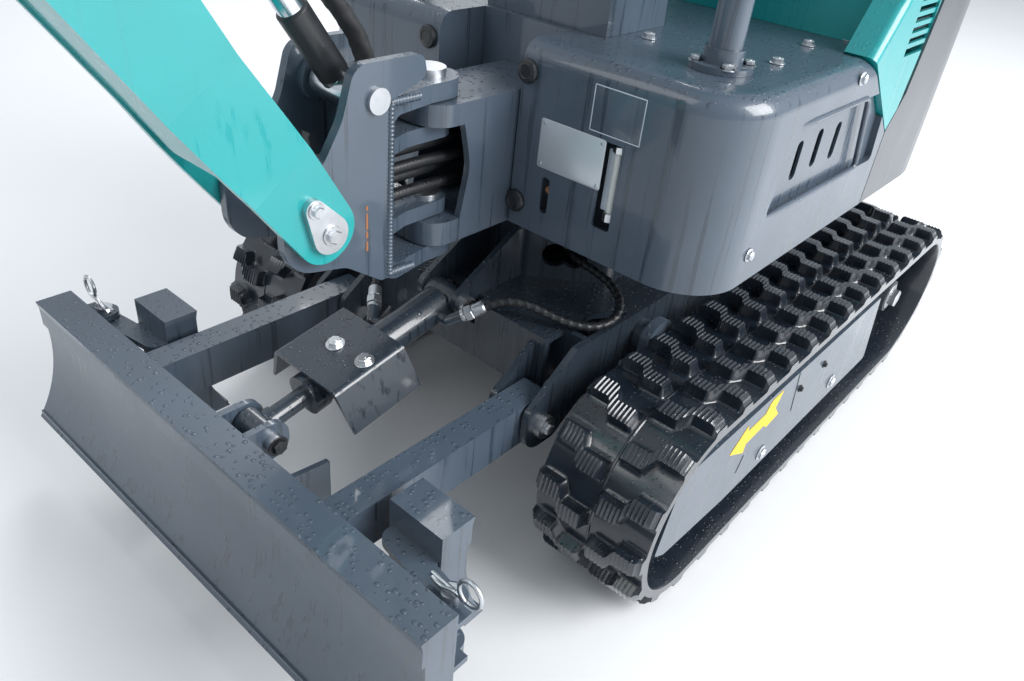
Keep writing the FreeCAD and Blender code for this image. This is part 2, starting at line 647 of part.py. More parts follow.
def dozer_blade():
    pieces = [blade_section(-BLADE_HALF_WIDTH, BLADE_HALF_WIDTH, 1, 0)]
    forward, up = BLADE_PIN
    end = BLADE_BACK + BLADE_REACH
    for side in (1, -1):
        a, b = sorted((side * EAR_INNER, side * (EAR_INNER + PLATE)))
        pieces.append(side_plate([(forward - 26, up - 26, 24), (end, up - 40),
                                  (end, up + 26), (forward - 26, up + 26, 24)], a, b))
        a, b = sorted((side * 56, side * 64))
        pieces.append(side_plate([(760, 196), (760, 132), (BLADE_TOE - 22, 100),
                                  (end - 4, 215)], a, b))
        for z in WING_LEVELS:
            a, b = sorted((side * (WING_HINGE_X - HINGE_RADIUS), side * (BLADE_HALF_WIDTH - 6)))
            pieces.append(block(a, b, WING_HINGE_FORWARD, end, z, z + HINGE_PLATE))
            pieces.append(upright(side * WING_HINGE_X, WING_HINGE_FORWARD, HINGE_RADIUS,
                                  z, z + HINGE_PLATE))
        pieces.append(dozer_arm(side))
    body = joined(*pieces)
    body = body.cut(cross_rod(BLADE_PIN, ROD_PIN_RADIUS + BORE_GAP, -40, 40))
    body = body.cut(cross_rod(ARM_PIVOT, DOZER_PIN_RADIUS + PIN_GAP, -300, 300))
    for side in (1, -1):
        body = body.cut(upright(side * WING_HINGE_X, WING_HINGE_FORWARD,
                                WING_PIN_RADIUS + BORE_GAP, 100, 275))
    return body


def blade_pins():
    """Stubs in the cylinder's ears, because its eye stays free between them, and wing pins."""
    solids = []
    for side in (1, -1):
        a, b = sorted((side * EAR_INNER, side * (EAR_INNER + PLATE + 2)))
        stub = cross_rod(BLADE_PIN, ROD_PIN_RADIUS, a, b)
        a, b = sorted((side * (EAR_INNER + PLATE), side * (EAR_INNER + PLATE + 12)))
        solids.append(joined(stub, cross_rod(BLADE_PIN, ROD_PIN_RADIUS + 2, a, b)))
        low = min(WING_LEVELS) - 20
        high = max(WING_LEVELS) + HINGE_PLATE
        x = side * WING_HINGE_X
        solids.append(joined(upright(x, WING_HINGE_FORWARD, WING_PIN_RADIUS, low, high + 7),
                             upright(x, WING_HINGE_FORWARD, 11, high, high + 7),
                             upright(x, WING_HINGE_FORWARD, 12, low, low + 7)))
    return group(*solids)


def wing_left():
    x1 = WING_HINGE_X - WING_REACH
    x0 = x1 - WING_WIDTH
    pieces = [blade_section(x0, x1, -1, WING_HINGE_FORWARD)]
    back = 2 * WING_HINGE_FORWARD - BLADE_BACK
    forward = WING_HINGE_FORWARD
    for level in WING_LEVELS:
        z = level - HINGE_PLATE - 2
        pieces.append(flat_plate([(x0 + 4, back - 20), (x0 + 4, back + 22, 18),
                                  (x1 - 10, back + 34, 20), (WING_HINGE_X, forward + 17),
                                  (WING_HINGE_X, forward - 17), (x1 - 4, back + 4),
                                  (x1 - 6, back - 20)], z, z + HINGE_PLATE))
        pieces.append(upright(WING_HINGE_X, forward, HINGE_RADIUS, z, z + HINGE_PLATE))
    return joined(*pieces).cut(upright(WING_HINGE_X, forward, WING_PIN_RADIUS + PIN_GAP, 100, 275))


# Hydraulic cylinders: base eye, barrel and gland on one piece, rod and eye on the other
# Half widths of the base eye and the rod's eye; the stroke's ends are counted from rest
# neck is the painted end of the rod, which stays outside the barrel
CYLINDER_COLUMNS = ("base", "eye", "barrel", "rod", "base_half", "eye_half", "low", "high", "neck")
GLAND_LENGTH = 24.0
PISTON_LENGTH = 18.0
NECK_SHARE = 0.6
NECK_WALL = 2.5


def cylinder_row(*values):
    return dict(zip(CYLINDER_COLUMNS, values))


def barrel(row, pin_radius):
    base = at(0, *row["base"])
    eye = at(0, *row["eye"])
    way = (eye - base).normalize()
    length = (eye - base).Length
    end = length + row["low"] - EYE_RADIUS - row["neck"]
    tube = rod(base + way * (EYE_RADIUS - 4), base + way * end, row["barrel"])
    gland = rod(base + way * (end - GLAND_LENGTH), base + way * end, row["barrel"] + 2.5)
    cap = cross_rod(row["base"], EYE_RADIUS, -row["base_half"], row["base_half"])
    body = joined(tube, gland, cap)
    bore = rod(base + way * (EYE_RADIUS + 12), base + way * (end - GLAND_LENGTH),
               row["barrel"] - 5)
    mouth = rod(base + way * (end - GLAND_LENGTH - 2), base + way * (end + 1),
                row["rod"] + BORE_GAP)
    body = body.cut(bore).cut(mouth)
    return body.cut(cross_rod(row["base"], pin_radius + PIN_GAP, -60, 60))


def piston_rod(row, eye_pin_radius):
    base = at(0, *row["base"])
    eye = at(0, *row["eye"])
    way = (eye - base).normalize()
    length = (eye - base).Length
    end = length + row["low"] - EYE_RADIUS - row["neck"]
    inner = end - GLAND_LENGTH - PISTON_LENGTH - row["high"] - 4
    bar = rod(base + way * inner, eye - way * (EYE_RADIUS - 6), row["rod"])
    piston = rod(base + way * inner, base + way * (inner + PISTON_LENGTH), row["barrel"] - 5.05)
    painted = row["neck"] * NECK_SHARE
    neck = rod(eye - way * (EYE_RADIUS + painted), eye - way * (EYE_RADIUS - 8), row["rod"] + NECK_WALL)
    ring = cross_rod(row["eye"], EYE_RADIUS, -row["eye_half"], row["eye_half"])
    body = joined(bar, piston, neck, ring)
    return body.cut(cross_rod(row["eye"], eye_pin_radius, -60, 60))


BLADE_CYLINDER = cylinder_row(BLADE_CYLINDER_BASE, BLADE_PIN, 27.0, 14.0, 28.0, 20.0, -46.0, 52.0,
                              8.0)


# Ports on the blade cylinder: place on its line, side, and the ferrule's end (x, forward, up)
BLADE_PORTS = [(40.0, 1, (92, 488, 350)), (110.0, -1, (-92, 545, 325))]


def port_line(along, side, end):
    """Elbow's centre beside the barrel, and the ferrule's start and end."""
    base, eye = BLADE_CYLINDER_BASE, BLADE_PIN
    angle = math.degrees(math.atan2(eye[1] - base[1], eye[0] - base[0]))
    place = along_line(base, angle, along, 0)
    elbow = at(side * (BLADE_CYLINDER["barrel"] + 17), *place)
    way = (at(*end) - elbow).normalize()
    return at(0, *place), elbow, elbow + way * FERRULE_LENGTH, way


def blade_barrel():
    pieces = [barrel(BLADE_CYLINDER, DOZER_PIN_RADIUS)]
    for along, side, end in BLADE_PORTS:
        center, elbow, ferrule_end, way = port_line(along, side, end)
        out = (elbow - center).normalize()
        pieces.append(rod(center + out * (BLADE_CYLINDER["barrel"] - 3), elbow, FERRULE_RADIUS - 1))
        pieces.append(Part.makeSphere(FERRULE_RADIUS, elbow))
        pieces.append(rod(elbow, ferrule_end, FERRULE_RADIUS))
    return joined(*pieces)


# Hose routes between the first point at the ferrule and the last one inside the turret
BLADE_HOSE_POINTS = [
    [(137, 460, 361), (169, 446, 351), (199, 430, 343), (224, 405, 340), (233, 371, 344),
     (219, 339, 353), (189, 322, 363), (155, 318, 370), (121, 316, 373), (90, 302, 371), (68, 276, 370)],
    [(-114, 506, 342), (-122, 471, 349), (-142, 441, 348), (-172, 421, 344), (-200, 399, 341),
     (-213, 366, 346), (-202, 333, 355), (-174, 316, 364), (-140, 314, 371), (-108, 310, 373),
     (-82, 290, 371), (-64, 262, 370)]]


def blade_hoses():
    solids = []
    for port, points in zip(BLADE_PORTS, BLADE_HOSE_POINTS):
        center, elbow, start, way = port_line(*port)
        first = (start.x, -start.y, start.z)
        second = start + way * 26
        route = [first, (second.x, -second.y, second.z)] + points
        solids.append(hose("blade hose", route, BLADE_HOSE_RADIUS))
    return group(*solids)


def post_hoses():
    """Four hoses through the swing post's window and the bracket's back plate."""
    solids = []
    for x, z in ((12, 519), (-14, 537), (14, 555), (-10, 573)):
        points = [(x, POST_BACK + 8, z), (x + 5, 372, z - 3), (x - 3, 438, z + 2), (x * 0.7, 504, z - 2),
                  (x * 0.4 + 4, 570, z + 2), (x * 0.5, 652, z)]
        solids.append(hose("post hose", points, POST_HOSE_RADIUS))
    return group(*solids)


def hose_sleeve():
    """Sleeve around the boom's hoses, from the bracket's top to the boom's right side."""
    low = [(0, SLEEVE_FOOT, 644), (0, SLEEVE_FOOT + 1, 698), (-2, 666, 752)]
    high = [(-8, 206, 188), (-34, 262, 176), (-58, 318, 146), (-68, 372, 102), (-75, 430, 62),
            (-76, 490, 44), (-76, BULKHEAD_ALONG - SEAT_GAP, 44)]
    points = low + [(x,) + along_line(FOOT, BOOM_RISE, along, off) for x, along, off in high]
    return hose("hose sleeve", points, SLEEVE_RADIUS)


def rod_guard():
    """Bent plate carried on the blade cylinder's gland, over its rod."""
    angle = math.degrees(math.atan2(BLADE_PIN[1] - BLADE_CYLINDER_BASE[1],
                                    BLADE_PIN[0] - BLADE_CYLINDER_BASE[0]))
    half, thick = 64, 5
    f0, f1 = 142, 262
    section = [(-half - 26, -22), (-half, 38, 8), (half, 38, 8), (half + 26, -22),
               (half + 26 - thick, -22), (half - thick, 38 - thick, 4),
               (-half + thick, 38 - thick, 4), (-half - 26 + thick, -22)]

    def place(a, b):
        side = along_line(BLADE_CYLINDER_BASE, angle, f0, b)
        return at(a, *side)
    far = along_line(BLADE_CYLINDER_BASE, angle, f1, 0)
    near = along_line(BLADE_CYLINDER_BASE, angle, f0, 0)
    plate = face_of(section, place).extrude(at(0, far[0] - near[0], far[1] - near[1]))
    feet = []
    for along in (176, 206):
        low = along_line(BLADE_CYLINDER_BASE, angle, along, 27.2)
        high = along_line(BLADE_CYLINDER_BASE, angle, along, 35)
        feet.append(rod(at(0, *low), at(0, *high), 9))
    return joined(plate, *feet)


# House
def house_outline(inset, back):
    """Plan outline of the house, inset from its outer face."""
    w = HOUSE_HALF_WIDTH - inset
    front = HOUSE_FRONT - inset
    return [(-w, front, HOUSE_CORNER - inset), (w, front, HOUSE_CORNER - inset),
            (w, back + inset, TAIL_CORNER - inset), (-w, back + inset, TAIL_CORNER - inset)]


SKIRT = COVER_SHEET + SEAT_GAP
FLOOR_TOP = HOUSE_FLOOR + FLOOR_THICKNESS


def house_frame():
    """Base plate, slewing seat and swing post in one weldment."""
    base = flat_plate(house_outline(SKIRT, HOUSE_BACK), HOUSE_FLOOR, FLOOR_TOP)
    seat = upright(0, 0, RING_RADIUS - 8, TURRET_TOP + RING_HEIGHT + RING_GAP, HOUSE_FLOOR + 1)
    w = SWING_POST_HALF_WIDTH
    nose_end = KING_FORWARD + NOSE_RADIUS
    pieces = [base, seat]
    for z0, z1 in NOSE_LEVELS:
        pieces.append(flat_plate([(-w, POST_BACK), (w, POST_BACK), (w, nose_end, NOSE_RADIUS),
                                  (-w, nose_end, NOSE_RADIUS)], z0, z1))
    low, high = NOSE_LEVELS[0][1] - 1, NOSE_LEVELS[1][0] + 1
    side = [(POST_BACK, low), (525, low), (521, 494, 8), (509, 552, 70), (521, 600, 8), (525, high),
            (POST_BACK, high)]
    for x0, x1 in ((-w, -w + PLATE), (w - PLATE, w)):
        pieces.append(side_plate(side, x0, x1))
    body = joined(*pieces)
    return body.cut(upright(0, KING_FORWARD, KING_RADIUS + PIN_GAP, HOUSE_FLOOR - 10,
                            SWING_POST_TOP + 10))


def seam_outline(shift):
    """Side-view region behind the slanting seam of the front covers."""
    return [(61 - shift, DECK_PLATE_UP + 40), (61 - shift, DECK_PLATE_UP + shift),
            (-101 - shift, 573 + shift), (-400, 573 + shift), (-400, DECK_PLATE_UP + 40)]


def front_cover(inner):
    """Left cover: front, rounded corner, side and deck in one sheet; inner is its inside edge."""
    def solid(inset, top, back):
        w = HOUSE_HALF_WIDTH - inset
        outline = [(inner + inset, HOUSE_FRONT - inset),
                   (w, HOUSE_FRONT - inset, HOUSE_CORNER - inset),
                   (w, back), (inner + inset, back)]
        shape = flat_plate(outline, HOUSE_FLOOR, top)
        edges = []
        for edge in shape.Edges:
            middle = edge.BoundBox.Center
            if all(abs(v.Z - top) < 1e-6 for v in edge.Vertexes):
                if abs(middle.x - inner - inset) > 1e-3 and abs(middle.y + back) > 1e-3:
                    edges.append(edge)
        return shape.makeFillet(COVER_EDGE - inset, edges)
    cover = solid(0, DECK_PLATE_UP, COVER_END)
    hollow = solid(COVER_SHEET, DECK_PLATE_UP - COVER_SHEET, COVER_END - 5)
    x = HOUSE_HALF_WIDTH
    backing = side_plate(RECESS_OUTER, x - RECESS_DEPTH - COVER_SHEET, x + 1)
    hollow = hollow.cut(backing)
    cover = cover.cut(hollow).cut(side_plate(RECESS, x - RECESS_DEPTH, x + 1))
    lower = flat_plate(house_outline(COVER_SHEET, HOUSE_BACK), HOUSE_FLOOR - 1,
                       FLOOR_TOP + SEAT_GAP)
    cover = cover.cut(lower)
    cover = cover.cut(side_plate(seam_outline(0), HOOD_HALF_WIDTH + 2, x + 1))
    cover = cover.cut(block(inner - 1, HOOD_HALF_WIDTH + 2, COVER_END - 1, COVER_BACK - 18,
                            FLOOR_TOP, DECK_PLATE_UP + 1))
    for forward, up in RECESS_SLOTS:
        a, b = RECESS_SLOT_HALF
        slot = side_plate([(forward - a, up - b, a - 1), (forward + a, up - b, a - 1),
                           (forward + a, up + b, a - 1), (forward - a, up + b, a - 1)], x - 40, x + 1)
        cover = cover.cut(slot)
    return cover


def cover_left():
    cover = front_cover(LEFT_COVER_X)
    for x0, x1, z0, z1 in FRONT_SLOTS:
        cover = cover.cut(front_plate([(x0, z0, 5), (x1, z0, 5), (x1, z1, 5), (x0, z1, 5)],
                                      HOUSE_FRONT - 20, HOUSE_FRONT + 1))
    return cover


def cover_right():
    return mirrored(front_cover(-RIGHT_COVER_X))


def deck_plate():
    """Middle of the floor and the wall behind the swing post."""
    x0 = RIGHT_COVER_X + SEAT_GAP
    x1 = LEFT_COVER_X - SEAT_GAP
    top = DECK_PLATE_UP
    deck = block(x0, x1, COVER_BACK - 18, RECESS_WALL + 8, top - COVER_SHEET, top)
    wall = block(x0, x1, RECESS_WALL, RECESS_WALL + 8, FLOOR_TOP + SEAT_GAP, top - 1)
    notch = SWING_POST_HALF_WIDTH + SEAT_GAP
    body = joined(deck, wall)
    body = body.cut(block(-notch, notch, RECESS_WALL - 1, RECESS_WALL + 9, HOUSE_FLOOR,
                          SWING_POST_TOP + SEAT_GAP))
    return body.cut(rod(at(-76, RECESS_WALL - 5, 560), at(-76, RECESS_WALL + 12, 560), 17))


def console():
    top = DECK_PLATE_UP + SEAT_GAP
    outer = [(CONSOLE_FRONT, top), (CONSOLE_FRONT, 930, 60), (282, CONSOLE_TOP, 24),
             (196, CONSOLE_TOP, 24), (176, top)]
    shell = side_plate(outer, -CONSOLE_HALF_WIDTH, CONSOLE_HALF_WIDTH)
    inner = [(CONSOLE_FRONT - 6, top - 1), (CONSOLE_FRONT - 6, 927, 54), (278, CONSOLE_TOP - 6, 18),
             (200, CONSOLE_TOP - 6, 18), (182, top - 1)]
    return shell.cut(side_plate(inner, -CONSOLE_HALF_WIDTH + 6, CONSOLE_HALF_WIDTH - 6))


# Levers on the console: x of foot and of grip, forward of foot and of grip, height, grip radius
LEVER_COLUMNS = ("foot_x", "top_x", "foot", "top", "height", "grip")
LEVERS = [(-26, -30, 246, 196, 230, 15), (26, 30, 246, 196, 230, 15),
          (-84, -110, 232, 190, 130, 18), (84, 110, 232, 190, 130, 18)]


def control_levers():
    solids = []
    for values in LEVERS:
        row = dict(zip(LEVER_COLUMNS, values))
        foot = at(row["foot_x"], row["foot"], CONSOLE_TOP)
        top = at(row["top_x"], row["top"], CONSOLE_TOP + row["height"])
        way = (top - foot).normalize()
        boot = Part.makeCone(17, 9, 34, foot, FreeCAD.Vector(0, 0, 1))
        solids.append(joined(boot, rod(foot + way * 6, top - way * 40, 6),
                             rod(top - way * 90, top, row["grip"])))
    return group(*solids)


def side_panel_left():
    """Rear bodywork beside the seat: a hollow panel open to the inside."""
    outline = [(61 - SEAM_GAP, DECK_PLATE_UP + SEAM_GAP), (-101, 573 + SEAM_GAP), (-142, 627),
               (-168, 764), (-196, HOOD_TOP, 30), (-36, HOOD_TOP, 40), (-8, 790, 80)]
    x0 = HOOD_HALF_WIDTH + SEAM_GAP
    x1 = HOUSE_HALF_WIDTH
    panel = side_plate(outline, x0, x1)
    edges = [e for e in panel.Edges
             if all(abs(v.X - x1) < 1e-6 for v in e.Vertexes) and e.BoundBox.ZMax > 800
             and e.BoundBox.ZMin > 700]
    panel = panel.makeFillet(14, edges)
    inner = offset_outline(outline, [5] * len(outline))
    panel = panel.cut(side_plate(inner, x0 - 1, x1 - 5))
    f0, f1, z0, z1 = GRILLE
    panel = panel.cut(block(x1 - 9, x1 + 1, f0, f1, z0, z1))
    bars = [block(x1 - 7, x1 - 2, f0 - 1, f1 + 1, z, z + 7)
            for z in [z0 + 10 + i * 15 for i in range(5)]]
    return joined(panel, *bars)


def seat_base():
    bottom = DECK_PLATE_UP + SEAT_GAP
    shell = block(-HOOD_HALF_WIDTH, HOOD_HALF_WIDTH, SEAT_BASE_BACK, COVER_BACK, bottom, HOOD_TOP)
    hollow = block(-HOOD_HALF_WIDTH + 5, HOOD_HALF_WIDTH - 5, SEAT_BASE_BACK - 1, COVER_BACK - 5,
                   bottom - 1, HOOD_TOP - 5)
    foot = block(-HOOD_HALF_WIDTH, HOOD_HALF_WIDTH, SEAT_BASE_BACK - 1, COVER_BACK - 17,
                 bottom - 1, bottom + 5)
    return shell.cut(hollow).cut(foot)


def rear_outline(inset):
    w = HOOD_HALF_WIDTH + 2 - inset
    back = HOUSE_BACK + 30 + inset
    front = SEAT_BASE_BACK - 1
    return [(-w, front), (w, front), (w, back, REAR_CORNER - inset), (-w, back, REAR_CORNER - inset)]


def rear_housing():
    bottom = TAIL_TOP + SEAT_GAP
    outer = flat_plate(rear_outline(0), bottom, HOOD_TOP)
    edges = [e for e in outer.Edges if all(abs(v.Z - HOOD_TOP) < 1e-6 for v in e.Vertexes)
             and abs(e.BoundBox.Center.y + SEAT_BASE_BACK - 1) > 1e-3]
    outer = outer.makeFillet(COVER_EDGE, edges)
    inner = flat_plate(rear_outline(5), bottom - 1, HOOD_TOP - 5)
    shell = outer.cut(inner)
    return shell.cut(block(-BONNET_HALF + 16, BONNET_HALF - 16, HOUSE_BACK, HOUSE_BACK + 80,
                           bottom + 22, HOOD_TOP - 46))


def bonnet():
    """Rear lid with its hinge barrel along the top edge."""
    face = HOUSE_BACK + 30 - SEAT_GAP
    low, high = TAIL_TOP + 12, HOOD_TOP - 34
    lid = front_plate([(-BONNET_HALF, low, 20), (BONNET_HALF, low, 20),
                       (BONNET_HALF, high), (-BONNET_HALF, high)], face - 6, face)
    inner = front_plate([(-BONNET_HALF + 20, low + 16, 12), (BONNET_HALF - 20, low + 16, 12),
                         (BONNET_HALF - 20, high - 20), (-BONNET_HALF + 20, high - 20)],
                        face - 1, face + 12)
    barrel_tube = rod(at(-BONNET_HALF, face - 8, high), at(BONNET_HALF, face - 8, high), 6)
    latch = block(-22, 22, face - 12, face - 5, low + 30, low + 44)
    return joined(lid, inner, barrel_tube, latch)


def counterweight():
    low, high = FLOOR_TOP + SEAT_GAP, TAIL_TOP
    def ring(inset):
        w = HOUSE_HALF_WIDTH - inset
        corner = TAIL_CORNER - inset
        return [(-w, 0), (w, 0), (w, HOUSE_BACK + inset, corner), (-w, HOUSE_BACK + inset, corner)]
    outer = flat_plate(ring(0), HOUSE_FLOOR, high)
    edges = [e for e in outer.Edges if all(abs(v.Z - high) < 1e-6 for v in e.Vertexes)
             and abs(e.BoundBox.Center.y) > 1e-3]
    outer = outer.makeFillet(COVER_EDGE, edges)
    body = outer.cut(flat_plate(ring(TAIL_THICKNESS), HOUSE_FLOOR - 1, high + 1))
    body = body.cut(flat_plate(house_outline(COVER_SHEET, HOUSE_BACK), HOUSE_FLOOR - 1,
                               FLOOR_TOP + SEAT_GAP))
    front = [(-101 - SEAM_GAP, HOUSE_FLOOR), (-101 - SEAM_GAP, 573), (-142 - SEAM_GAP, 627),
             (-168 - SEAM_GAP, 764), (-172 - SEAM_GAP, high + 1), (HOUSE_BACK - 1, high + 1),
             (HOUSE_BACK - 1, HOUSE_FLOOR)]
    body = body.common(side_plate(front, -400, 400))
    seat_side = HOOD_HALF_WIDTH + SEAT_GAP
    return body.cut(block(-seat_side, seat_side, SEAT_BASE_BACK - 1, 0, DECK_PLATE_UP, high + 1))


def engine_block():
    return block(-160, 160, -480, -235, FLOOR_TOP, 900)


def seat_cushion():
    cushion = block(-205, 205, -300, -52, HOOD_TOP + SEAT_GAP, HOOD_TOP + 92)
    edges = [e for e in cushion.Edges if e.BoundBox.ZMin > HOOD_TOP + 50]
    return cushion.makeFillet(34, edges)


def seat_back():
    low = HOOD_TOP + 92 + SEAT_GAP
    shape = side_plate([(-248, low), (-296, low), (-372, low + 354), (-308, low + 354)], -195, 195)
    edges = [e for e in shape.Edges if abs(e.BoundBox.XMax - e.BoundBox.XMin) < 1
             or e.BoundBox.ZMin > low + 300]
    return shape.makeFillet(24, edges)


def canopy_frame():
    front_foot = DECK_PLATE_UP + SEAT_GAP
    rear_foot = HOOD_TOP + SEAT_GAP
    rail = ROOF_UP - POST_RADIUS - SEAT_GAP
    pieces = []
    for side in (1, -1):
        x = side * POST_X
        points = [(FRONT_POST, front_foot + 6), (FRONT_POST - 8, rail, 150),
                  (REAR_POST + 20, rail, 150), (REAR_POST, rear_foot + 6)]
        pieces.append(bent_tube([at(x, *p[:2]) for p in points], [p[2] for p in points[1:-1]],
                                POST_RADIUS))
        for forward, foot in ((FRONT_POST, front_foot), (REAR_POST, rear_foot)):
            pieces.append(upright(x, forward, 40, foot, foot + 8))
            pieces.append(upright(x, forward, POST_RADIUS + 4, foot + 2, foot + 26))
    for forward in (150, -220):
        pieces.append(cross_rod((forward, rail), POST_RADIUS - 4, -POST_X, POST_X))
    return joined(*pieces)


def roof():
    w, front, back = ROOF_HALF_WIDTH, ROOF_FRONT, ROOF_BACK
    outline = [(-w, front, 90), (w, front, 90), (w, back, 90), (-w, back, 90)]
    slab = flat_plate(outline, ROOF_UP, ROOF_UP + ROOF_THICKNESS)
    edges = [e for e in slab.Edges if all(abs(v.Z - ROOF_UP - ROOF_THICKNESS) < 1e-6
                                          for v in e.Vertexes)]
    return slab.makeFillet(24, edges)


# Swing bracket, which carries the boom on the king pins
def swing_bracket():
    inner = BRACKET_HALF_WIDTH - BRACKET_PLATE
    d0, d1 = NOSE_LEVELS[0][0] - LUG_CLEARANCE - 22, NOSE_LEVELS[0][0] - LUG_CLEARANCE
    a0, a1 = NOSE_LEVELS[1][1] + LUG_CLEARANCE, NOSE_LEVELS[1][1] + LUG_CLEARANCE + 23
    rear = KING_FORWARD - NOSE_RADIUS
    end = BRACKET_BACK + 18
    yoke = side_plate([(rear, d0), (end, d0, 35), (end, a1, 35), (rear, a1), (rear, a0),
                       (BRACKET_BACK, a0, 17), (BRACKET_BACK, d1, 17), (rear, d1)],
                      -inner - 1, inner + 1)
    plan = flat_plate([(-NOSE_RADIUS, rear, NOSE_RADIUS - 0.1), (NOSE_RADIUS, rear, NOSE_RADIUS - 0.1),
                       (NOSE_RADIUS, 570), (inner + 1, BRACKET_BACK), (inner + 1, end + 1),
                       (-inner - 1, end + 1), (-inner - 1, BRACKET_BACK), (-NOSE_RADIUS, 570)],
                      d0 - 1, a1 + 1)
    pieces = [yoke.common(plan)]
    b1 = NOSE_LEVELS[1][0] - LUG_CLEARANCE
    c0 = NOSE_LEVELS[0][1] + LUG_CLEARANCE
    for z0, z1 in ((b1 - LUG_PLATE, b1), (c0, c0 + LUG_PLATE)):
        r = 29
        pieces.append(flat_plate([(-r, KING_FORWARD - r, r - 0.1), (r, KING_FORWARD - r, r - 0.1),
                                  (r, 600), (42, BRACKET_BACK + 2), (-42, BRACKET_BACK + 2),
                                  (-r, 600)], z0, z1))
    for side in (1, -1):
        a, b = sorted((side * inner, side * BRACKET_HALF_WIDTH))
        pieces.append(side_plate(BRACKET_SIDE, a, b))
        a, b = sorted((side * 36, side * (inner + 1)))
        pieces.append(cross_rod(UPPER_PIN, 27, a, b))
    body = joined(*pieces)
    body = body.cut(upright(0, KING_FORWARD, KING_RADIUS + BORE_GAP, d0 - 1, a1 + 1))
    x0, x1, z0, z1 = HOSE_WINDOW
    body = body.cut(front_plate([(x0, z0, 8), (x1, z0, 8), (x1, z1, 8), (x0, z1, 8)],
                                BRACKET_BACK - 1, end + 1))
    body = body.cut(upright(0, SLEEVE_FOOT, SLEEVE_RADIUS + SLEEVE_CLEARANCE, a0 - 1, a1 + 1))
    body = body.cut(cross_rod(FOOT, FOOT_PIN_RADIUS + PIN_GAP, -80, 80))
    return body.cut(cross_rod(UPPER_PIN, ROD_PIN_RADIUS + BORE_GAP, -80, 80))


def bracket_pins():
    """Upper and lower king pins and the stubs that hold the boom cylinder's rod eye."""
    top = NOSE_LEVELS[1][1] + LUG_CLEARANCE + 23
    low = NOSE_LEVELS[0][0] - LUG_CLEARANCE - 22
    f = KING_FORWARD
    solids = [
        joined(upright(0, f, KING_RADIUS, NOSE_LEVELS[1][0] - LUG_CLEARANCE - LUG_PLATE - 4, top + 2),
               upright(0, f, KING_HEAD_RADIUS, top, top + 9)),
        joined(upright(0, f, KING_RADIUS, low - 2, NOSE_LEVELS[0][1] + LUG_CLEARANCE + LUG_PLATE + 4),
               upright(0, f, 27, low - 6, low))]
    for side in (1, -1):
        a, b = sorted((side * 36, side * (BRACKET_HALF_WIDTH + 2)))
        stub = cross_rod(UPPER_PIN, ROD_PIN_RADIUS, a, b)
        a, b = sorted((side * BRACKET_HALF_WIDTH, side * (BRACKET_HALF_WIDTH + 5)))
        solids.append(joined(stub, cross_rod(UPPER_PIN, ROD_PIN_RADIUS + 4, a, b)))
    return group(*solids)


# Boom
BEND = along_line(FOOT, BOOM_RISE, BOOM_LOWER_LENGTH, 0)
TIP = along_line(BEND, BOOM_UPPER_RISE, BOOM_UPPER_LENGTH, 0)
ROD_ANGLE = 54.6
BOOM_CYLINDER_BASE = along_line(UPPER_PIN, ROD_ANGLE, BOOM_CYLINDER_LENGTH, 0)
ARM_CYLINDER_BASE = along_line(BEND, BOOM_UPPER_RISE, 70, 115)
ARM_LEVER_PIN = along_line(TIP, ARM_RISE, -LEVER_LENGTH * math.cos(math.radians(LEVER_ANGLE)),
                           LEVER_LENGTH * math.sin(math.radians(LEVER_ANGLE)))
BUCKET_PIN = along_line(TIP, ARM_RISE, ARM_LENGTH, 0)
ROCKER_PIN = along_line(TIP, ARM_RISE, ARM_LENGTH - ROCKER_SETBACK, ROCKER_OFF)
BUCKET_CYLINDER_BASE = along_line(TIP, ARM_RISE, BUCKET_BASE_ALONG, 125)
HORN_PIN = along_line(BUCKET_PIN, ARM_RISE, HORN_LENGTH * math.cos(math.radians(HORN_ANGLE)),
                      HORN_LENGTH * math.sin(math.radians(HORN_ANGLE)))


# The rocker runs parallel to the bucket's horn, so that both turn by the same angle
ROCKER_END = along_line(ROCKER_PIN, ARM_RISE, HORN_LENGTH * math.cos(math.radians(HORN_ANGLE)),
                        HORN_LENGTH * math.sin(math.radians(HORN_ANGLE)))


def offset_outline(corners, distances):
    """Corners moved inward, each side by its own distance, for a wall's inner face."""
    count = len(corners)
    area = sum(corners[i][0] * corners[(i + 1) % count][1]
               - corners[(i + 1) % count][0] * corners[i][1] for i in range(count))
    turn = 1 if area > 0 else -1
    lines = []
    for i in range(count):
        a, b = corners[i], corners[(i + 1) % count]
        length = math.hypot(b[0] - a[0], b[1] - a[1])
        u = ((b[0] - a[0]) / length, (b[1] - a[1]) / length)
        n = (-u[1] * turn, u[0] * turn)
        lines.append(((a[0] + n[0] * distances[i], a[1] + n[1] * distances[i]), u))
    result = []
    for i, corner in enumerate(corners):
        (p, u), (q, v) = lines[i - 1], lines[i]
        cross = u[0] * v[1] - u[1] * v[0]
        t = ((q[0] - p[0]) * v[1] - (q[1] - p[1]) * v[0]) / cross
        place = (p[0] + u[0] * t, p[1] + u[1] * t)
        radius = corner[2] if len(corner) > 2 else 0
        result.append(place + ((max(radius - distances[i], 1.0),) if radius else ()))
    return result


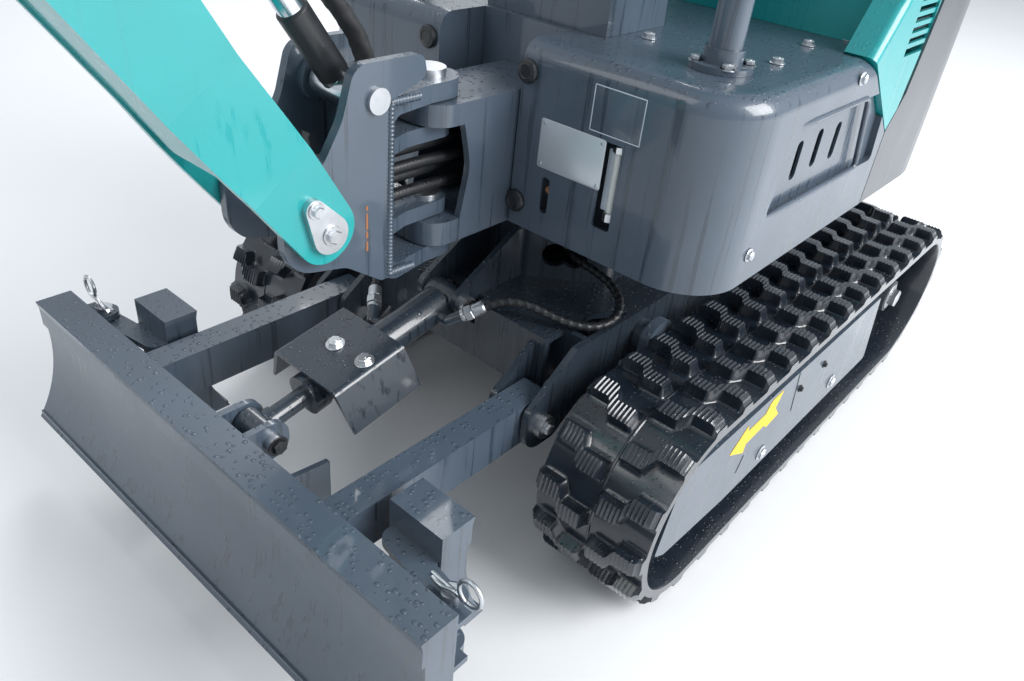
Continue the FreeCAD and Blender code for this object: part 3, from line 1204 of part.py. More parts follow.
def boom_outline():
    r = FOOT_RADIUS
    lower = local_outline(FOOT, BOOM_RISE, [(-r, -r, r - 0.1), (-r, r, r - 0.1),
                                            (130, BOOM_HALF_DEPTH, 60)])
    turn = math.radians(BOOM_RISE - BOOM_UPPER_RISE) / 2
    depth = BOOM_BEND_HALF_DEPTH / math.cos(turn)
    middle = (BOOM_RISE + BOOM_UPPER_RISE) / 2
    back = along_line(BEND, middle, 0, depth) + (120,)
    inner = along_line(BEND, middle, 0, -(BOOM_HALF_DEPTH + 6) / math.cos(turn)) + (160,)
    t = BOOM_TIP_RADIUS
    end = local_outline(BEND, BOOM_UPPER_RISE, [(BOOM_UPPER_LENGTH + t, t, t - 0.1),
                                                (BOOM_UPPER_LENGTH + t, -t, t - 0.1)])
    front = local_outline(FOOT, BOOM_RISE, [(130, -BOOM_HALF_DEPTH, 60)])
    return lower + [back] + end + [inner] + front


def boom():
    outline = boom_outline()
    profile = side_plate(outline, -FOOT_PLATE_X - FOOT_PLATE - 1, FOOT_PLATE_X + FOOT_PLATE + 1)
    a = math.radians(BOOM_RISE)
    off = at(0, -math.sin(a), math.cos(a))
    w = BOOM_HALF_WIDTH
    inner = w - BOOM_SIDE
    foot_in, foot_out = FOOT_PLATE_X, FOOT_PLATE_X + FOOT_PLATE
    cheek = [(foot_in, -60), (foot_out, -60), (foot_out, 92), (w, 205), (w, 320), (inner, 320),
             (inner, 203), (foot_in, 88)]
    pieces = []
    for side in (1, -1):
        def place(x, along, side=side):
            return at(side * x, *along_line(FOOT, BOOM_RISE, along, -90))
        pieces.append(face_of(cheek, place).extrude(off * 220).common(profile))
        low, high = sorted((side * inner, side * w))
        cut_line = local_outline(FOOT, BOOM_RISE, [(310, -200), (310, 200), (-300, 200), (-300, -200)])
        pieces.append(side_plate(outline, low, high).cut(side_plate(cut_line, low - 1, high + 1)))
    count = len(outline)
    sunk = offset_outline(outline, [3] * count)
    skin = offset_outline(outline, [9] * count)
    tube = side_plate(sunk, -inner - 1, inner + 1).cut(side_plate(skin, -inner - 2, inner + 2))
    foot_zone = local_outline(FOOT, BOOM_RISE, [(124, -200), (124, 200), (-300, 200), (-300, -200)])
    tip_zone = local_outline(BEND, BOOM_UPPER_RISE, [(485, -200), (485, 200), (900, 200), (900, -200)])
    tube = tube.cut(side_plate(foot_zone, -200, 200)).cut(side_plate(tip_zone, -200, 200))
    pieces.append(tube)
    for along in (130, 300):
        box = local_outline(FOOT, BOOM_RISE, [(along, -BOOM_HALF_DEPTH + 5), (along, BOOM_HALF_DEPTH - 5),
                                              (along + 8, BOOM_HALF_DEPTH - 5),
                                              (along + 8, -BOOM_HALF_DEPTH + 5)])
        pieces.append(side_plate(box, -inner - 1, inner + 1))
    ears = local_outline(BEND, BOOM_UPPER_RISE, [(-86, 166, 32), (104, 148, 30), (128, 52),
                                                 (-18, 52), (-70, 20), (-92, 90, 24)])
    for side in (1, -1):
        low, high = sorted((side * BOOM_EAR, side * (BOOM_EAR + PLATE)))
        pieces.append(side_plate(ears, low, high))
        low, high = sorted((side * inner, side * (w + 6)))
        pieces.append(cross_rod(TIP, 30, low, high))
    bulkhead = local_outline(FOOT, BOOM_RISE, [(BULKHEAD_ALONG, 18, 6), (BULKHEAD_ALONG, 70, 6), (BULKHEAD_ALONG + 26, 70, 6),
                                                 (BULKHEAD_ALONG + 26, 18, 6)])
    pieces.append(side_plate(bulkhead, -w - 44, -w + 1))
    body = joined(*pieces)
    body = body.cut(cross_rod(FOOT, FOOT_PIN_RADIUS + BORE_GAP, -100, 100))
    body = body.cut(cross_rod(TIP, BOOM_PIN_RADIUS + BORE_GAP, -100, 100))
    body = body.cut(cross_rod(BOOM_CYLINDER_BASE, BOOM_PIN_RADIUS + BORE_GAP, -100, 100))
    return body.cut(cross_rod(ARM_CYLINDER_BASE, BOOM_PIN_RADIUS + BORE_GAP, -100, 100))


def boom_pins():
    out = FOOT_PLATE_X + FOOT_PLATE
    big, small = KEEPER_RADII
    angle, reach = KEEPER_ANGLE, KEEPER_REACH
    lean = math.degrees(math.asin((big - small) / reach))
    web = []
    for turn, along, radius in ((90 - lean, 0, big), (90 - lean, reach, small),
                                (lean - 90, reach, small), (lean - 90, 0, big)):
        web.append(along_line(along_line(FOOT, angle, along, 0), angle + turn, radius, 0))
    far = along_line(FOOT, angle, reach, 0)
    pieces = [cross_rod(FOOT, FOOT_PIN_RADIUS, -out - 8, out + 8)]
    for side in (1, -1):
        low, high = sorted((side * (out + BORE_GAP), side * (out + 8)))
        pieces.append(side_plate(web, low, high))
        pieces.append(cross_rod(FOOT, big, low, high))
        pieces.append(cross_rod(far, small, low, high))
    result = [joined(*pieces)]
    w = BOOM_HALF_WIDTH + 6
    result.append(joined(cross_rod(TIP, BOOM_PIN_RADIUS, -w - 3, w + 3),
                         cross_rod(TIP, BOOM_PIN_RADIUS + 7, w, w + 8),
                         cross_rod(TIP, BOOM_PIN_RADIUS + 7, -w - 8, -w)))
    ear = BOOM_EAR + PLATE
    for place in (BOOM_CYLINDER_BASE, ARM_CYLINDER_BASE):
        result.append(joined(cross_rod(place, BOOM_PIN_RADIUS, -ear - 3, ear + 3),
                             cross_rod(place, BOOM_PIN_RADIUS + 6, ear, ear + 6),
                             cross_rod(place, BOOM_PIN_RADIUS + 6, -ear - 6, -ear)))
    return group(*result)


# Arm
def arm_outline():
    rocker = ARM_LENGTH - ROCKER_SETBACK
    return local_outline(TIP, ARM_RISE, [
        (-134, 78, 24), (-134, 30, 22), (-36, -38, 34), (60, -38, 60),
        (ARM_LENGTH + 26, -26, 24), (ARM_LENGTH + 26, 24, 22), (rocker + 52, 24, 30),
        (rocker + 7.4, ROCKER_OFF + 17, 16.9), (rocker - 34, ROCKER_OFF + 17, 40), (120, 66, 80),
        (-70, 84, 40)])


def arm():
    w = STICK_HALF_WIDTH
    outline = arm_outline()
    inner = w - STICK_SIDE
    pieces = []
    for side in (1, -1):
        low, high = sorted((side * inner, side * w))
        pieces.append(side_plate(outline, low, high))
    count = len(outline)
    tube = side_plate(offset_outline(outline, [3] * count), -inner - 1, inner + 1)
    tube = tube.cut(side_plate(offset_outline(outline, [9] * count), -inner - 2, inner + 2))
    rocker = ARM_LENGTH - ROCKER_SETBACK
    lever_zone = local_outline(TIP, ARM_RISE, [(-200, -200), (-28, -200), (-28, 200), (-200, 200)])
    rocker_zone = local_outline(TIP, ARM_RISE, [(rocker - 40, 20), (ARM_LENGTH + 100, 20),
                                                (ARM_LENGTH + 100, 200), (rocker - 40, 200)])
    tube = tube.cut(side_plate(lever_zone, -200, 200)).cut(side_plate(rocker_zone, -200, 200))
    pieces.append(tube)
    pieces.append(cross_rod(TIP, 30, -w - 2, w + 2))
    pieces.append(cross_rod(BUCKET_PIN, 25, -w, w))
    floor = local_outline(TIP, ARM_RISE, [(rocker - 42, 12), (ARM_LENGTH, 12), (ARM_LENGTH, 18),
                                          (rocker - 42, 18)])
    pieces.append(side_plate(floor, -inner - 1, inner + 1))
    wall = local_outline(TIP, ARM_RISE, [(-28, -28), (-20, -28), (-20, 66), (-28, 66)])
    pieces.append(side_plate(wall, -inner - 1, inner + 1))
    ears = local_outline(TIP, ARM_RISE, [(96, 150, 26), (96, 54), (240, 54), (156, 150, 26)])
    for side in (1, -1):
        low, high = sorted((side * BUCKET_EAR, side * (BUCKET_EAR + 8)))
        pieces.append(side_plate(ears, low, high))
    body = joined(*pieces)
    body = body.cut(cross_rod(TIP, BOOM_PIN_RADIUS + PIN_GAP, -100, 100))
    for place, radius in ((BUCKET_PIN, BUCKET_PIN_RADIUS), (ROCKER_PIN, ROD_PIN_RADIUS),
                          (BUCKET_CYLINDER_BASE, ROD_PIN_RADIUS), (ARM_LEVER_PIN, ROD_PIN_RADIUS)):
        body = body.cut(cross_rod(place, radius + BORE_GAP, -100, 100))
    return body


def arm_pins():
    w = STICK_HALF_WIDTH
    solids = []
    for side in (1, -1):
        a, b = sorted((side * (w - STICK_SIDE), side * (w + 1)))
        stub = cross_rod(ARM_LEVER_PIN, ROD_PIN_RADIUS, a, b)
        a, b = sorted((side * w, side * (w + 3)))
        solids.append(joined(stub, cross_rod(ARM_LEVER_PIN, ROD_PIN_RADIUS + 5, a, b)))
    plate = ROCKER_X + PLATE
    solids.append(joined(cross_rod(ROCKER_PIN, ROD_PIN_RADIUS, -plate - 2, plate + 2),
                         cross_rod(ROCKER_PIN, ROD_PIN_RADIUS + 5, plate + 1, plate + 7),
                         cross_rod(ROCKER_PIN, ROD_PIN_RADIUS + 5, -plate - 7, -plate - 1)))
    ear = BUCKET_EAR + 8
    solids.append(joined(cross_rod(BUCKET_CYLINDER_BASE, ROD_PIN_RADIUS, -ear - 2, ear + 2),
                         cross_rod(BUCKET_CYLINDER_BASE, ROD_PIN_RADIUS + 5, ear, ear + 5),
                         cross_rod(BUCKET_CYLINDER_BASE, ROD_PIN_RADIUS + 5, -ear - 5, -ear)))
    hook = BUCKET_CHEEK + BUCKET_EAR_PLATE
    solids.append(joined(cross_rod(BUCKET_PIN, BUCKET_PIN_RADIUS, -hook - 2, hook + 2),
                         cross_rod(BUCKET_PIN, BUCKET_PIN_RADIUS + 6, hook + 1, hook + 7),
                         cross_rod(BUCKET_PIN, BUCKET_PIN_RADIUS + 6, -hook - 7, -hook - 1)))
    return group(*solids)


# Bucket linkage
def bar_outline(start, end, radius):
    angle = math.degrees(math.atan2(end[1] - start[1], end[0] - start[0]))
    length = math.hypot(end[0] - start[0], end[1] - start[1])
    r = radius
    return local_outline(start, angle, [(-r, -r, r - 0.1), (length + r, -r, r - 0.1),
                                        (length + r, r, r - 0.1), (-r, r, r - 0.1)])


def rocker():
    solids = []
    for side in (1, -1):
        a, b = sorted((side * ROCKER_X, side * (ROCKER_X + PLATE)))
        plate = side_plate(bar_outline(ROCKER_PIN, ROCKER_END, 20), a, b)
        plate = plate.cut(cross_rod(ROCKER_PIN, ROD_PIN_RADIUS + PIN_GAP, a - 1, b + 1))
        a, b = sorted((side * (LINK_X - 0.5), side * (ROCKER_X + PLATE + 6)))
        solids.append(plate.fuse(cross_rod(ROCKER_END, ROD_PIN_RADIUS, a, b)))
    return group(*solids)


def link():
    pieces = []
    for side in (1, -1):
        a, b = sorted((side * LINK_X, side * (LINK_X + PLATE)))
        pieces.append(side_plate(bar_outline(ROCKER_END, HORN_PIN, LINK_HALF), a, b))
        pieces.append(cross_rod(ROCKER_END, 20, a, b))
        pieces.append(cross_rod(HORN_PIN, 20, a, b))
    angle = math.degrees(math.atan2(HORN_PIN[1] - ROCKER_END[1], HORN_PIN[0] - ROCKER_END[0]))
    web = local_outline(ROCKER_END, angle, [(104, -8), (126, -8), (126, 8), (104, 8)])
    pieces.append(side_plate(web, -LINK_X - 1, LINK_X + 1))
    body = joined(*pieces)
    body = body.cut(cross_rod(ROCKER_END, ROD_PIN_RADIUS + PIN_GAP, -100, 100))
    return body.cut(cross_rod(HORN_PIN, ROD_PIN_RADIUS + OPEN_PIVOT_GAP, -100, 100))


def bucket_side():
    """Side outline in the bucket's own frame: along to the teeth, off to the back."""
    tip_angle = ARM_RISE + HORN_ANGLE - HORN_SPREAD
    return tip_angle, [(62, -20), (-12, 160), (22, 262, 70), (215, 236, 120), (BUCKET_REACH, 0)]


def bucket():
    angle, outline = bucket_side()
    w = BUCKET_HALF_WIDTH
    outer = side_plate(local_outline(BUCKET_PIN, angle, outline), -w, w)
    inset = offset_outline(outline, [BUCKET_SKIN] * 4 + [-60])
    body = outer.cut(side_plate(local_outline(BUCKET_PIN, angle, inset),
                                -w + BUCKET_SIDE, w - BUCKET_SIDE))
    pieces = [body]
    ears = local_outline(BUCKET_PIN, angle, [(-27, -31, 26), (65, -27), (-9, 150), (-62, 138, 20),
                                             (-88, 120, 24), (-84, 74, 24), (-27, 20, 30)])
    for side in (1, -1):
        a, b = sorted((side * BUCKET_CHEEK, side * (BUCKET_CHEEK + BUCKET_EAR_PLATE)))
        pieces.append(side_plate(ears, a, b))
    slope = math.degrees(math.atan2(0 - 236, BUCKET_REACH - 215))
    tooth = [(-58, -2), (-58, 13), (6, 16), (66, 4), (66, -2)]
    for i in range(TOOTH_COUNT):
        x = -w + 26 + i * (2 * w - 52) / (TOOTH_COUNT - 1)
        corners = [along_line((BUCKET_REACH, 0), slope, c[0], c[1]) for c in tooth]
        pieces.append(side_plate(local_outline(BUCKET_PIN, angle, corners), x - 18, x + 18))
    body = joined(*pieces)
    hook = BUCKET_CHEEK + BUCKET_EAR_PLATE
    pin = joined(cross_rod(HORN_PIN, ROD_PIN_RADIUS, -hook - 2, hook + 2),
                 cross_rod(HORN_PIN, ROD_PIN_RADIUS + 5, hook - 1, hook + 6),
                 cross_rod(HORN_PIN, ROD_PIN_RADIUS + 5, -hook - 6, -hook + 1))
    body = body.fuse(pin)
    return body.cut(cross_rod(BUCKET_PIN, BUCKET_PIN_RADIUS + PIN_GAP, -100, 100))


# Cylinders of boom, arm and bucket
BOOM_CYLINDER = cylinder_row(BOOM_CYLINDER_BASE, UPPER_PIN, 30.0, 15.0, 31.0, 31.0, -40.0, 216.0,
                             144.0)
ARM_CYLINDER = cylinder_row(ARM_CYLINDER_BASE, ARM_LEVER_PIN, 28.0, 14.0, 30.0, 30.0, -150.0, 48.0,
                            8.0)
BUCKET_CYLINDER = cylinder_row(BUCKET_CYLINDER_BASE, ROCKER_END, 25.0, 13.0, 25.0, 25.0, -194.0, 35.0,
                               8.0)


PARTS = {
    "carbody": carbody,
    "slide_tubes": slide_tubes,
    "slew_ring": slew_ring,
    "carbody_pins": dozer_pins,
    "track_frame_left": track_frame_left,
    "track_left": track_left,
    "dozer_blade": dozer_blade,
    "blade_pins": blade_pins,
    "wing_left": wing_left,
    "blade_barrel": blade_barrel,
    "blade_hoses": blade_hoses,
    "post_hoses": post_hoses,
    "hose_sleeve": hose_sleeve,
    "blade_rod": lambda: piston_rod(BLADE_CYLINDER, ROD_PIN_RADIUS + 1),
    "rod_guard": rod_guard,
    "house_frame": house_frame,
    "cover_left": cover_left,
    "cover_right": cover_right,
    "deck_plate": deck_plate,
    "console": console,
    "control_levers": control_levers,
    "side_panel_left": side_panel_left,
    "seat_base": seat_base,
    "rear_housing": rear_housing,
    "bonnet": bonnet,
    "counterweight": counterweight,
    "engine_block": engine_block,
    "seat_cushion": seat_cushion,
    "seat_back": seat_back,
    "canopy_frame": canopy_frame,
    "roof": roof,
    "swing_bracket": swing_bracket,
    "bracket_pins": bracket_pins,
    "boom": boom,
    "boom_pins": boom_pins,
    "boom_barrel": lambda: barrel(BOOM_CYLINDER, BOOM_PIN_RADIUS),
    "boom_rod": lambda: piston_rod(BOOM_CYLINDER, ROD_PIN_RADIUS + 1),
    "arm": arm,
    "arm_pins": arm_pins,
    "arm_barrel": lambda: barrel(ARM_CYLINDER, BOOM_PIN_RADIUS),
    "arm_rod": lambda: piston_rod(ARM_CYLINDER, ROD_PIN_RADIUS + 1),
    "bucket_barrel": lambda: barrel(BUCKET_CYLINDER, ROD_PIN_RADIUS),
    "bucket_rod": lambda: piston_rod(BUCKET_CYLINDER, ROD_PIN_RADIUS + 1),
    "rocker": rocker,
    "link": link,
    "bucket": bucket,
}


def model():
    """Every node's shape about the slewing axis."""
    shapes = {name: make() for name, make in PARTS.items()}
    for name in ("track_frame", "track", "wing", "side_panel"):
        shapes[name + "_right"] = mirrored(shapes[name + "_left"])
    for name, make in (("idlers", idler_left), ("sprockets", sprocket_left),
                       ("rollers", rollers_left)):
        left = make()
        shapes[name] = group(*left.Solids, *mirrored(left).Solids)
    return shapes


def main():
    shapes = model()
    low = min(shape.BoundBox.YMin for shape in shapes.values())
    high = max(shape.BoundBox.YMax for shape in shapes.values())
    shift = FreeCAD.Vector(0, -(low + high) / 2, 0)
    print("slewing axis in Y", round(shift.y, 4))
    os.makedirs("parts", exist_ok=True)
    for name, shape in shapes.items():
        shape.translate(shift)
        if not shape.isValid():
            print("not valid", name)
        if any(solid.Volume <= 0 for solid in shape.Solids) or not shape.Solids:
            print("no volume", name)
        shape.exportStep("parts/" + name + ".step")


if __name__ == "__main__":
    main()
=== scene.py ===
# %% [markdown] # A compact tracked excavator with a folding-wing dozer blade  The metal
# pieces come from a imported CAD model, already in place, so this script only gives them
# finishes and adds what a welder, a hose fitter and a painter would add: bolts, welds,
# hoses, plates and seat pads.

# %% Load the frame
import json
import math
import bpy
import numpy as np
from mathutils import Matrix, Vector


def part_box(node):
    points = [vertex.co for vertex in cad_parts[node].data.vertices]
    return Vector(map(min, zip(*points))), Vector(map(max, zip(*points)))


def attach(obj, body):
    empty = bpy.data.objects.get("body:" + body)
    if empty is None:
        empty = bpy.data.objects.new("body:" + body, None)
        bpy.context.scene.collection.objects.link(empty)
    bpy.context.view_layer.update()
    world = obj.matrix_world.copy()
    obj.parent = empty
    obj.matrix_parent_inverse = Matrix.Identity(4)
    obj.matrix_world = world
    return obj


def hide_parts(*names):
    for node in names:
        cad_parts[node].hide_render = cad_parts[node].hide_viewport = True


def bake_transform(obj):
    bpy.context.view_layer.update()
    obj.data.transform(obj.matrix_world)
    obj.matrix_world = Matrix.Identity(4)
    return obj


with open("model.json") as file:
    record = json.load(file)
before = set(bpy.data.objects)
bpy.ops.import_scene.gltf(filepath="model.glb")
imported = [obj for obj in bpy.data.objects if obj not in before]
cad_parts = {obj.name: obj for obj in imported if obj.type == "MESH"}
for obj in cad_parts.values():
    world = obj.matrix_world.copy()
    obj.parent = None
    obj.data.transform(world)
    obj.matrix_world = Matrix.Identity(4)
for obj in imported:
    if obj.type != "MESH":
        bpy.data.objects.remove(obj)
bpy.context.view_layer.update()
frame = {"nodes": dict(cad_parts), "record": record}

# %% [markdown]
# ## Places on the machine
#
# A fitter reads a machine from its slewing axis: so far to the left, so far forward, so high
# above the ground. The scene is in metres with -Y forward, so one small function turns such
# millimetre places into scene places. The slewing axis is the middle of the slewing ring.

# %% Places
RING_LOW, RING_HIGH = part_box("slew_ring")
AXIS_Y = (RING_LOW[1] + RING_HIGH[1]) / 2


def at(x, forward, up):
    """Scene place of a point so many mm left of, forward of and above the slewing axis's foot."""
    return np.array([x / 1000, AXIS_Y - forward / 1000, up / 1000])


def line(origin, angle, along, off):
    """(forward, up) of a point along and off a line that rises at an angle, in side view."""
    a = math.radians(angle)
    return (origin[0] + along * math.cos(a) - off * math.sin(a),
            origin[1] + along * math.sin(a) + off * math.cos(a))


LEFT, RIGHT = np.array([1.0, 0, 0]), np.array([-1.0, 0, 0])
FRONT, BACK = np.array([0, -1.0, 0]), np.array([0, 1.0, 0])
UP = np.array([0, 0, 1.0])
SIDES = ((1, "left", LEFT), (-1, "right", RIGHT))
print("slewing axis at Y", round(AXIS_Y, 4))

# %% [markdown]
# ## Camera
#
# The photograph is taken by someone who stands at the front left and looks down at the blade,
# with the camera tilted a little. A camera needs a place, three directions and a lens, so its
# matrix is built from the viewing angle, the downward angle and the tilt.

# %% Camera
AZIMUTH, DOWNWARD, TILT = math.radians(37.7), math.radians(33.6), math.radians(6.5)
LENS, SENSOR_WIDTH, FAR_END = 28.66, 36.0, 200
EYE = (0.7363, AXIS_Y - 1.2621, 0.9602)
ahead = np.array([-math.sin(AZIMUTH) * math.cos(DOWNWARD), math.cos(AZIMUTH) * math.cos(DOWNWARD),
                  -math.sin(DOWNWARD)])
side = np.array([math.cos(AZIMUTH), math.sin(AZIMUTH), 0.0])
top = np.cross(side, ahead)
side, top = side * math.cos(TILT) + top * math.sin(TILT), top * math.cos(TILT) - side * math.sin(TILT)
camera = bpy.data.objects.new("camera", bpy.data.cameras.new("camera"))
camera.data.lens = LENS
camera.data.sensor_width = SENSOR_WIDTH
camera.data.sensor_fit = "HORIZONTAL"
camera.data.clip_end = FAR_END
camera.matrix_world = Matrix([[side[i], top[i], -ahead[i], EYE[i]] for i in range(3)] + [[0, 0, 0, 1]])
bpy.context.scene.collection.objects.link(camera)
bpy.context.scene.camera = camera
bpy.context.scene.view_settings.view_transform = "Standard"
print("camera", [round(v, 3) for v in camera.matrix_world.translation])

# %% [markdown]
# ## Shader sums
#
# A finish is mostly arithmetic: how wet, how rough, how much of the second colour. Blender
# does such sums with Math nodes, which are slow to wire by hand. A small class that wraps a
# socket lets Python's own signs add those nodes, so a finish reads like a formula.

# %% Shader sums
IOR = 1.5


class Socket:
    """A shader value that can be added, multiplied and compared in Python."""

    def __init__(self, tree, out):
        self.tree, self.out = tree, out

    def math(self, operation, *values, clamp=False):
        return node(self.tree, "ShaderNodeMath", {"operation": operation, "use_clamp": clamp},
                    dict(enumerate(values)))

    def __add__(self, other):
        return self.math("ADD", self, other)

    def __sub__(self, other):
        return self.math("SUBTRACT", self, other)

    def __rsub__(self, other):
        return self.math("SUBTRACT", other, self)

    def __mul__(self, other):
        return self.math("MULTIPLY", self, other)

    def __truediv__(self, other):
        return self.math("DIVIDE", self, other)

    __radd__, __rmul__ = __add__, __mul__

    def limited(self):
        return self.math("ADD", self, 0.0, clamp=True)

    def above(self, level):
        return self.math("GREATER_THAN", self, level)

    def root(self):
        return self.math("SQRT", self)


def node(tree, kind, settings=None, inputs=None, output=0):
    """Any node: its type, its settings, the values or links of its sockets, and which output."""
    made = tree.nodes.new(kind)
    for name, value in (settings or {}).items():
        setattr(made, name, value)
    for name, value in (inputs or {}).items():
        socket = made.inputs[name]
        if isinstance(value, Socket):
            tree.links.new(value.out, socket)
        else:
            socket.default_value = value
    return Socket(tree, made.outputs[output])


def blended(tree, share, first, second):
    """Mix of two colours, as share goes from 0 to 1."""
    return node(tree, "ShaderNodeMix", {"data_type": "RGBA"}, {0: share, 6: first, 7: second}, 2)


def finish(name, colour, roughness, metallic=0.0, coat=0.0, coat_roughness=0.05):
    """A new material with its uniform values set on the shader's own sockets."""
    made = bpy.data.materials.new(name)
    made.use_nodes = True
    made.diffuse_color = (*colour, 1)
    shader = made.node_tree.nodes["Principled BSDF"]
    shader.inputs["Base Color"].default_value = (*colour, 1)
    shader.inputs["Roughness"].default_value = roughness
    shader.inputs["Metallic"].default_value = metallic
    shader.inputs["Coat Weight"].default_value = coat
    shader.inputs["Coat Roughness"].default_value = coat_roughness
    shader.inputs["IOR"].default_value = IOR
    return made, made.node_tree, shader


def joins(tree, value, shader, socket):
    tree.links.new(value.out, shader.inputs[socket])


print("shader sums ready")

# %% [markdown]
# ## Patterns on the metal
#
# The machine stands in the rain. Round drops sit on faces that look up, and water runs down
# upright faces in streaks. Both could be modelled, but thousands of drops are cheaper as a
# bump: each cell of a Voronoi pattern holds one drop of its own size, shaped like a low dome.

# %% Patterns
LEVEL_FROM, LEVEL_RISE = 0.55, 4.0
SMALL_DROP, DROP_SPREAD = 0.14, 0.3


def object_place(tree):
    return node(tree, "ShaderNodeTexCoord", output=3)


def stretched(tree, scale):
    return node(tree, "ShaderNodeMapping", {}, {0: object_place(tree), 3: scale})


def noise(tree, scale, detail=3.0, place=None):
    return node(tree, "ShaderNodeTexNoise", {}, {"Vector": place or object_place(tree), "Scale": scale,
                                                 "Detail": detail})


def facing_up(tree):
    """1 on faces that look up, 0 on upright ones: the normal's height, steepened and cut off."""
    normal = node(tree, "ShaderNodeTexCoord", output=1)
    up = node(tree, "ShaderNodeSeparateXYZ", {}, {0: normal}, 2)
    return ((up - LEVEL_FROM) * LEVEL_RISE).limited()


def drops(tree, scale, share):
    """Domes: each cell's drop has the height sqrt(1 - (distance / radius)^2)."""
    cells = tree.nodes.new("ShaderNodeTexVoronoi")
    cells.inputs["Scale"].default_value = scale
    tree.links.new(object_place(tree).out, cells.inputs["Vector"])
    distance, tint = Socket(tree, cells.outputs[0]), Socket(tree, cells.outputs[1])
    chance = node(tree, "ShaderNodeSeparateColor", {}, {0: tint}, 0)
    radius = SMALL_DROP + chance * DROP_SPREAD
    dome = (1.0 - (distance / radius) * (distance / radius)).limited().root()
    return dome * chance.above(1 - share)


def bumped(tree, shader, height, strength, distance):
    made = node(tree, "ShaderNodeBump", {}, {"Strength": strength, "Distance": distance, "Height": height})
    joins(tree, made, shader, "Normal")


print("patterns ready")

# %% [markdown]
# ## Paint
#
# Frames, blade and covers carry a dark blue-grey paint, and the boom and the rear panels a
# teal one. Both are the same glossy coat over a slightly uneven colour, so one function makes
# them: the coat is wetter where drops sit, and streaks darken and smooth upright faces. Castings
# have the same coat, only duller.

# %% Paint
CLOUD_SCALE, PEEL_SCALE, PEEL_HEIGHT = 9.0, 520.0, 0.06
STREAK_SHAPE, STREAK_FROM, STREAK_RISE = (95.0, 95.0, 3.2), 0.56, 9.0
WET_HEIGHT = 0.0022


def wet_paint(name, dark, light, roughness, drop_scale=115.0, drop_share=0.75, streaks=0.75):
    """Roughness = own + cloud - streak - drop; height = domes of drops + orange peel + streaks."""
    made, tree, shader = finish(name, light, roughness, coat=0.55, coat_roughness=0.06)
    up = facing_up(tree)
    cloud = noise(tree, CLOUD_SCALE)
    streak = noise(tree, 1.0, 4.0, stretched(tree, STREAK_SHAPE))
    run = ((streak - STREAK_FROM) * STREAK_RISE).limited() * (1.0 - up)
    joins(tree, blended(tree, (cloud * 0.7 + run * streaks).limited(), (*light, 1), (*dark, 1)),
          shader, "Base Color")
    dome = drops(tree, drop_scale, drop_share) * up
    joins(tree, (roughness + cloud * 0.12 - run * 0.16 - dome * 0.2).limited(), shader, "Roughness")
    peel = noise(tree, PEEL_SCALE, 2.0) * PEEL_HEIGHT
    bumped(tree, shader, dome + peel + run * (0.07 * streaks), 0.8, WET_HEIGHT)
    return made


grey_paint = wet_paint("grey paint", (0.036, 0.051, 0.070), (0.072, 0.098, 0.134), 0.31)
teal_paint = wet_paint("teal paint", (0.004, 0.225, 0.235), (0.008, 0.325, 0.330), 0.32, 150.0, 0.5, 0.15)
dark_paint = wet_paint("dark paint", (0.014, 0.020, 0.028), (0.030, 0.042, 0.058), 0.24)
cast_grey = wet_paint("cast grey", (0.045, 0.050, 0.058), (0.085, 0.092, 0.105), 0.5)
print("paints", grey_paint.name, teal_paint.name, dark_paint.name, cast_grey.name)

# %% [markdown]
# ## Metal, rubber and plastic
#
# Pins and bolts are zinc plated, rods are chromed, and tracks, hoses and plugs are black.
# Bare metal is mostly its roughness: fine brushing for steel, cloudy crystals for zinc and
# almost none on a chromed rod. Wet rubber is nearly black with a sharp gloss on its edges.


# %% Metal, rubber and plastic
def metal(name, light, dark, roughness, grain, depth):
    """Two tones in a cloudy grain, whose bump is four times as fine."""
    made, tree, shader = finish(name, light, roughness, metallic=1.0)
    cloud = noise(tree, grain)
    joins(tree, blended(tree, cloud, (*light, 1), (*dark, 1)), shader, "Base Color")
    joins(tree, (roughness - 0.08 + cloud * 0.2).limited(), shader, "Roughness")
    bumped(tree, shader, noise(tree, grain * 4), 0.25, depth)
    return made


def rubber(name, colour, dark, roughness, grain, coat):
    """Two near-blacks in a cloudy grain, a bump twelve times as fine, and drops on level faces."""
    made, tree, shader = finish(name, colour, roughness, coat=coat, coat_roughness=0.12)
    cloud = noise(tree, grain)
    wet = drops(tree, 140.0, 0.7) * facing_up(tree)
    joins(tree, blended(tree, cloud, (*colour, 1), (*dark, 1)), shader, "Base Color")
    joins(tree, (roughness + cloud * 0.25 - wet * 0.2).limited(), shader, "Roughness")
    bumped(tree, shader, noise(tree, grain * 12) * 0.25 + wet, 0.7, 0.0016)
    return made


zinc = metal("zinc", (0.72, 0.73, 0.75), (0.50, 0.52, 0.55), 0.34, 60.0, 0.0003)
steel = metal("steel", (0.42, 0.43, 0.45), (0.25, 0.26, 0.28), 0.38, 40.0, 0.0003)
chrome = metal("chrome", (0.78, 0.80, 0.83), (0.70, 0.72, 0.76), 0.14, 8.0, 0.00005)
track_rubber = rubber("track rubber", (0.005, 0.009, 0.015), (0.011, 0.017, 0.027), 0.18, 30.0, 0.8)
hose_rubber = rubber("hose rubber", (0.005, 0.006, 0.008), (0.010, 0.012, 0.015), 0.36, 80.0, 0.3)
black_plastic = rubber("black plastic", (0.006, 0.007, 0.009), (0.013, 0.015, 0.018), 0.34, 60.0, 0.2)
woven_black = rubber("woven black", (0.010, 0.011, 0.012), (0.020, 0.021, 0.024), 0.55, 260.0, 0.0)
seat_vinyl = rubber("seat vinyl", (0.014, 0.015, 0.017), (0.024, 0.025, 0.028), 0.48, 120.0, 0.05)
print("metals and rubbers ready")

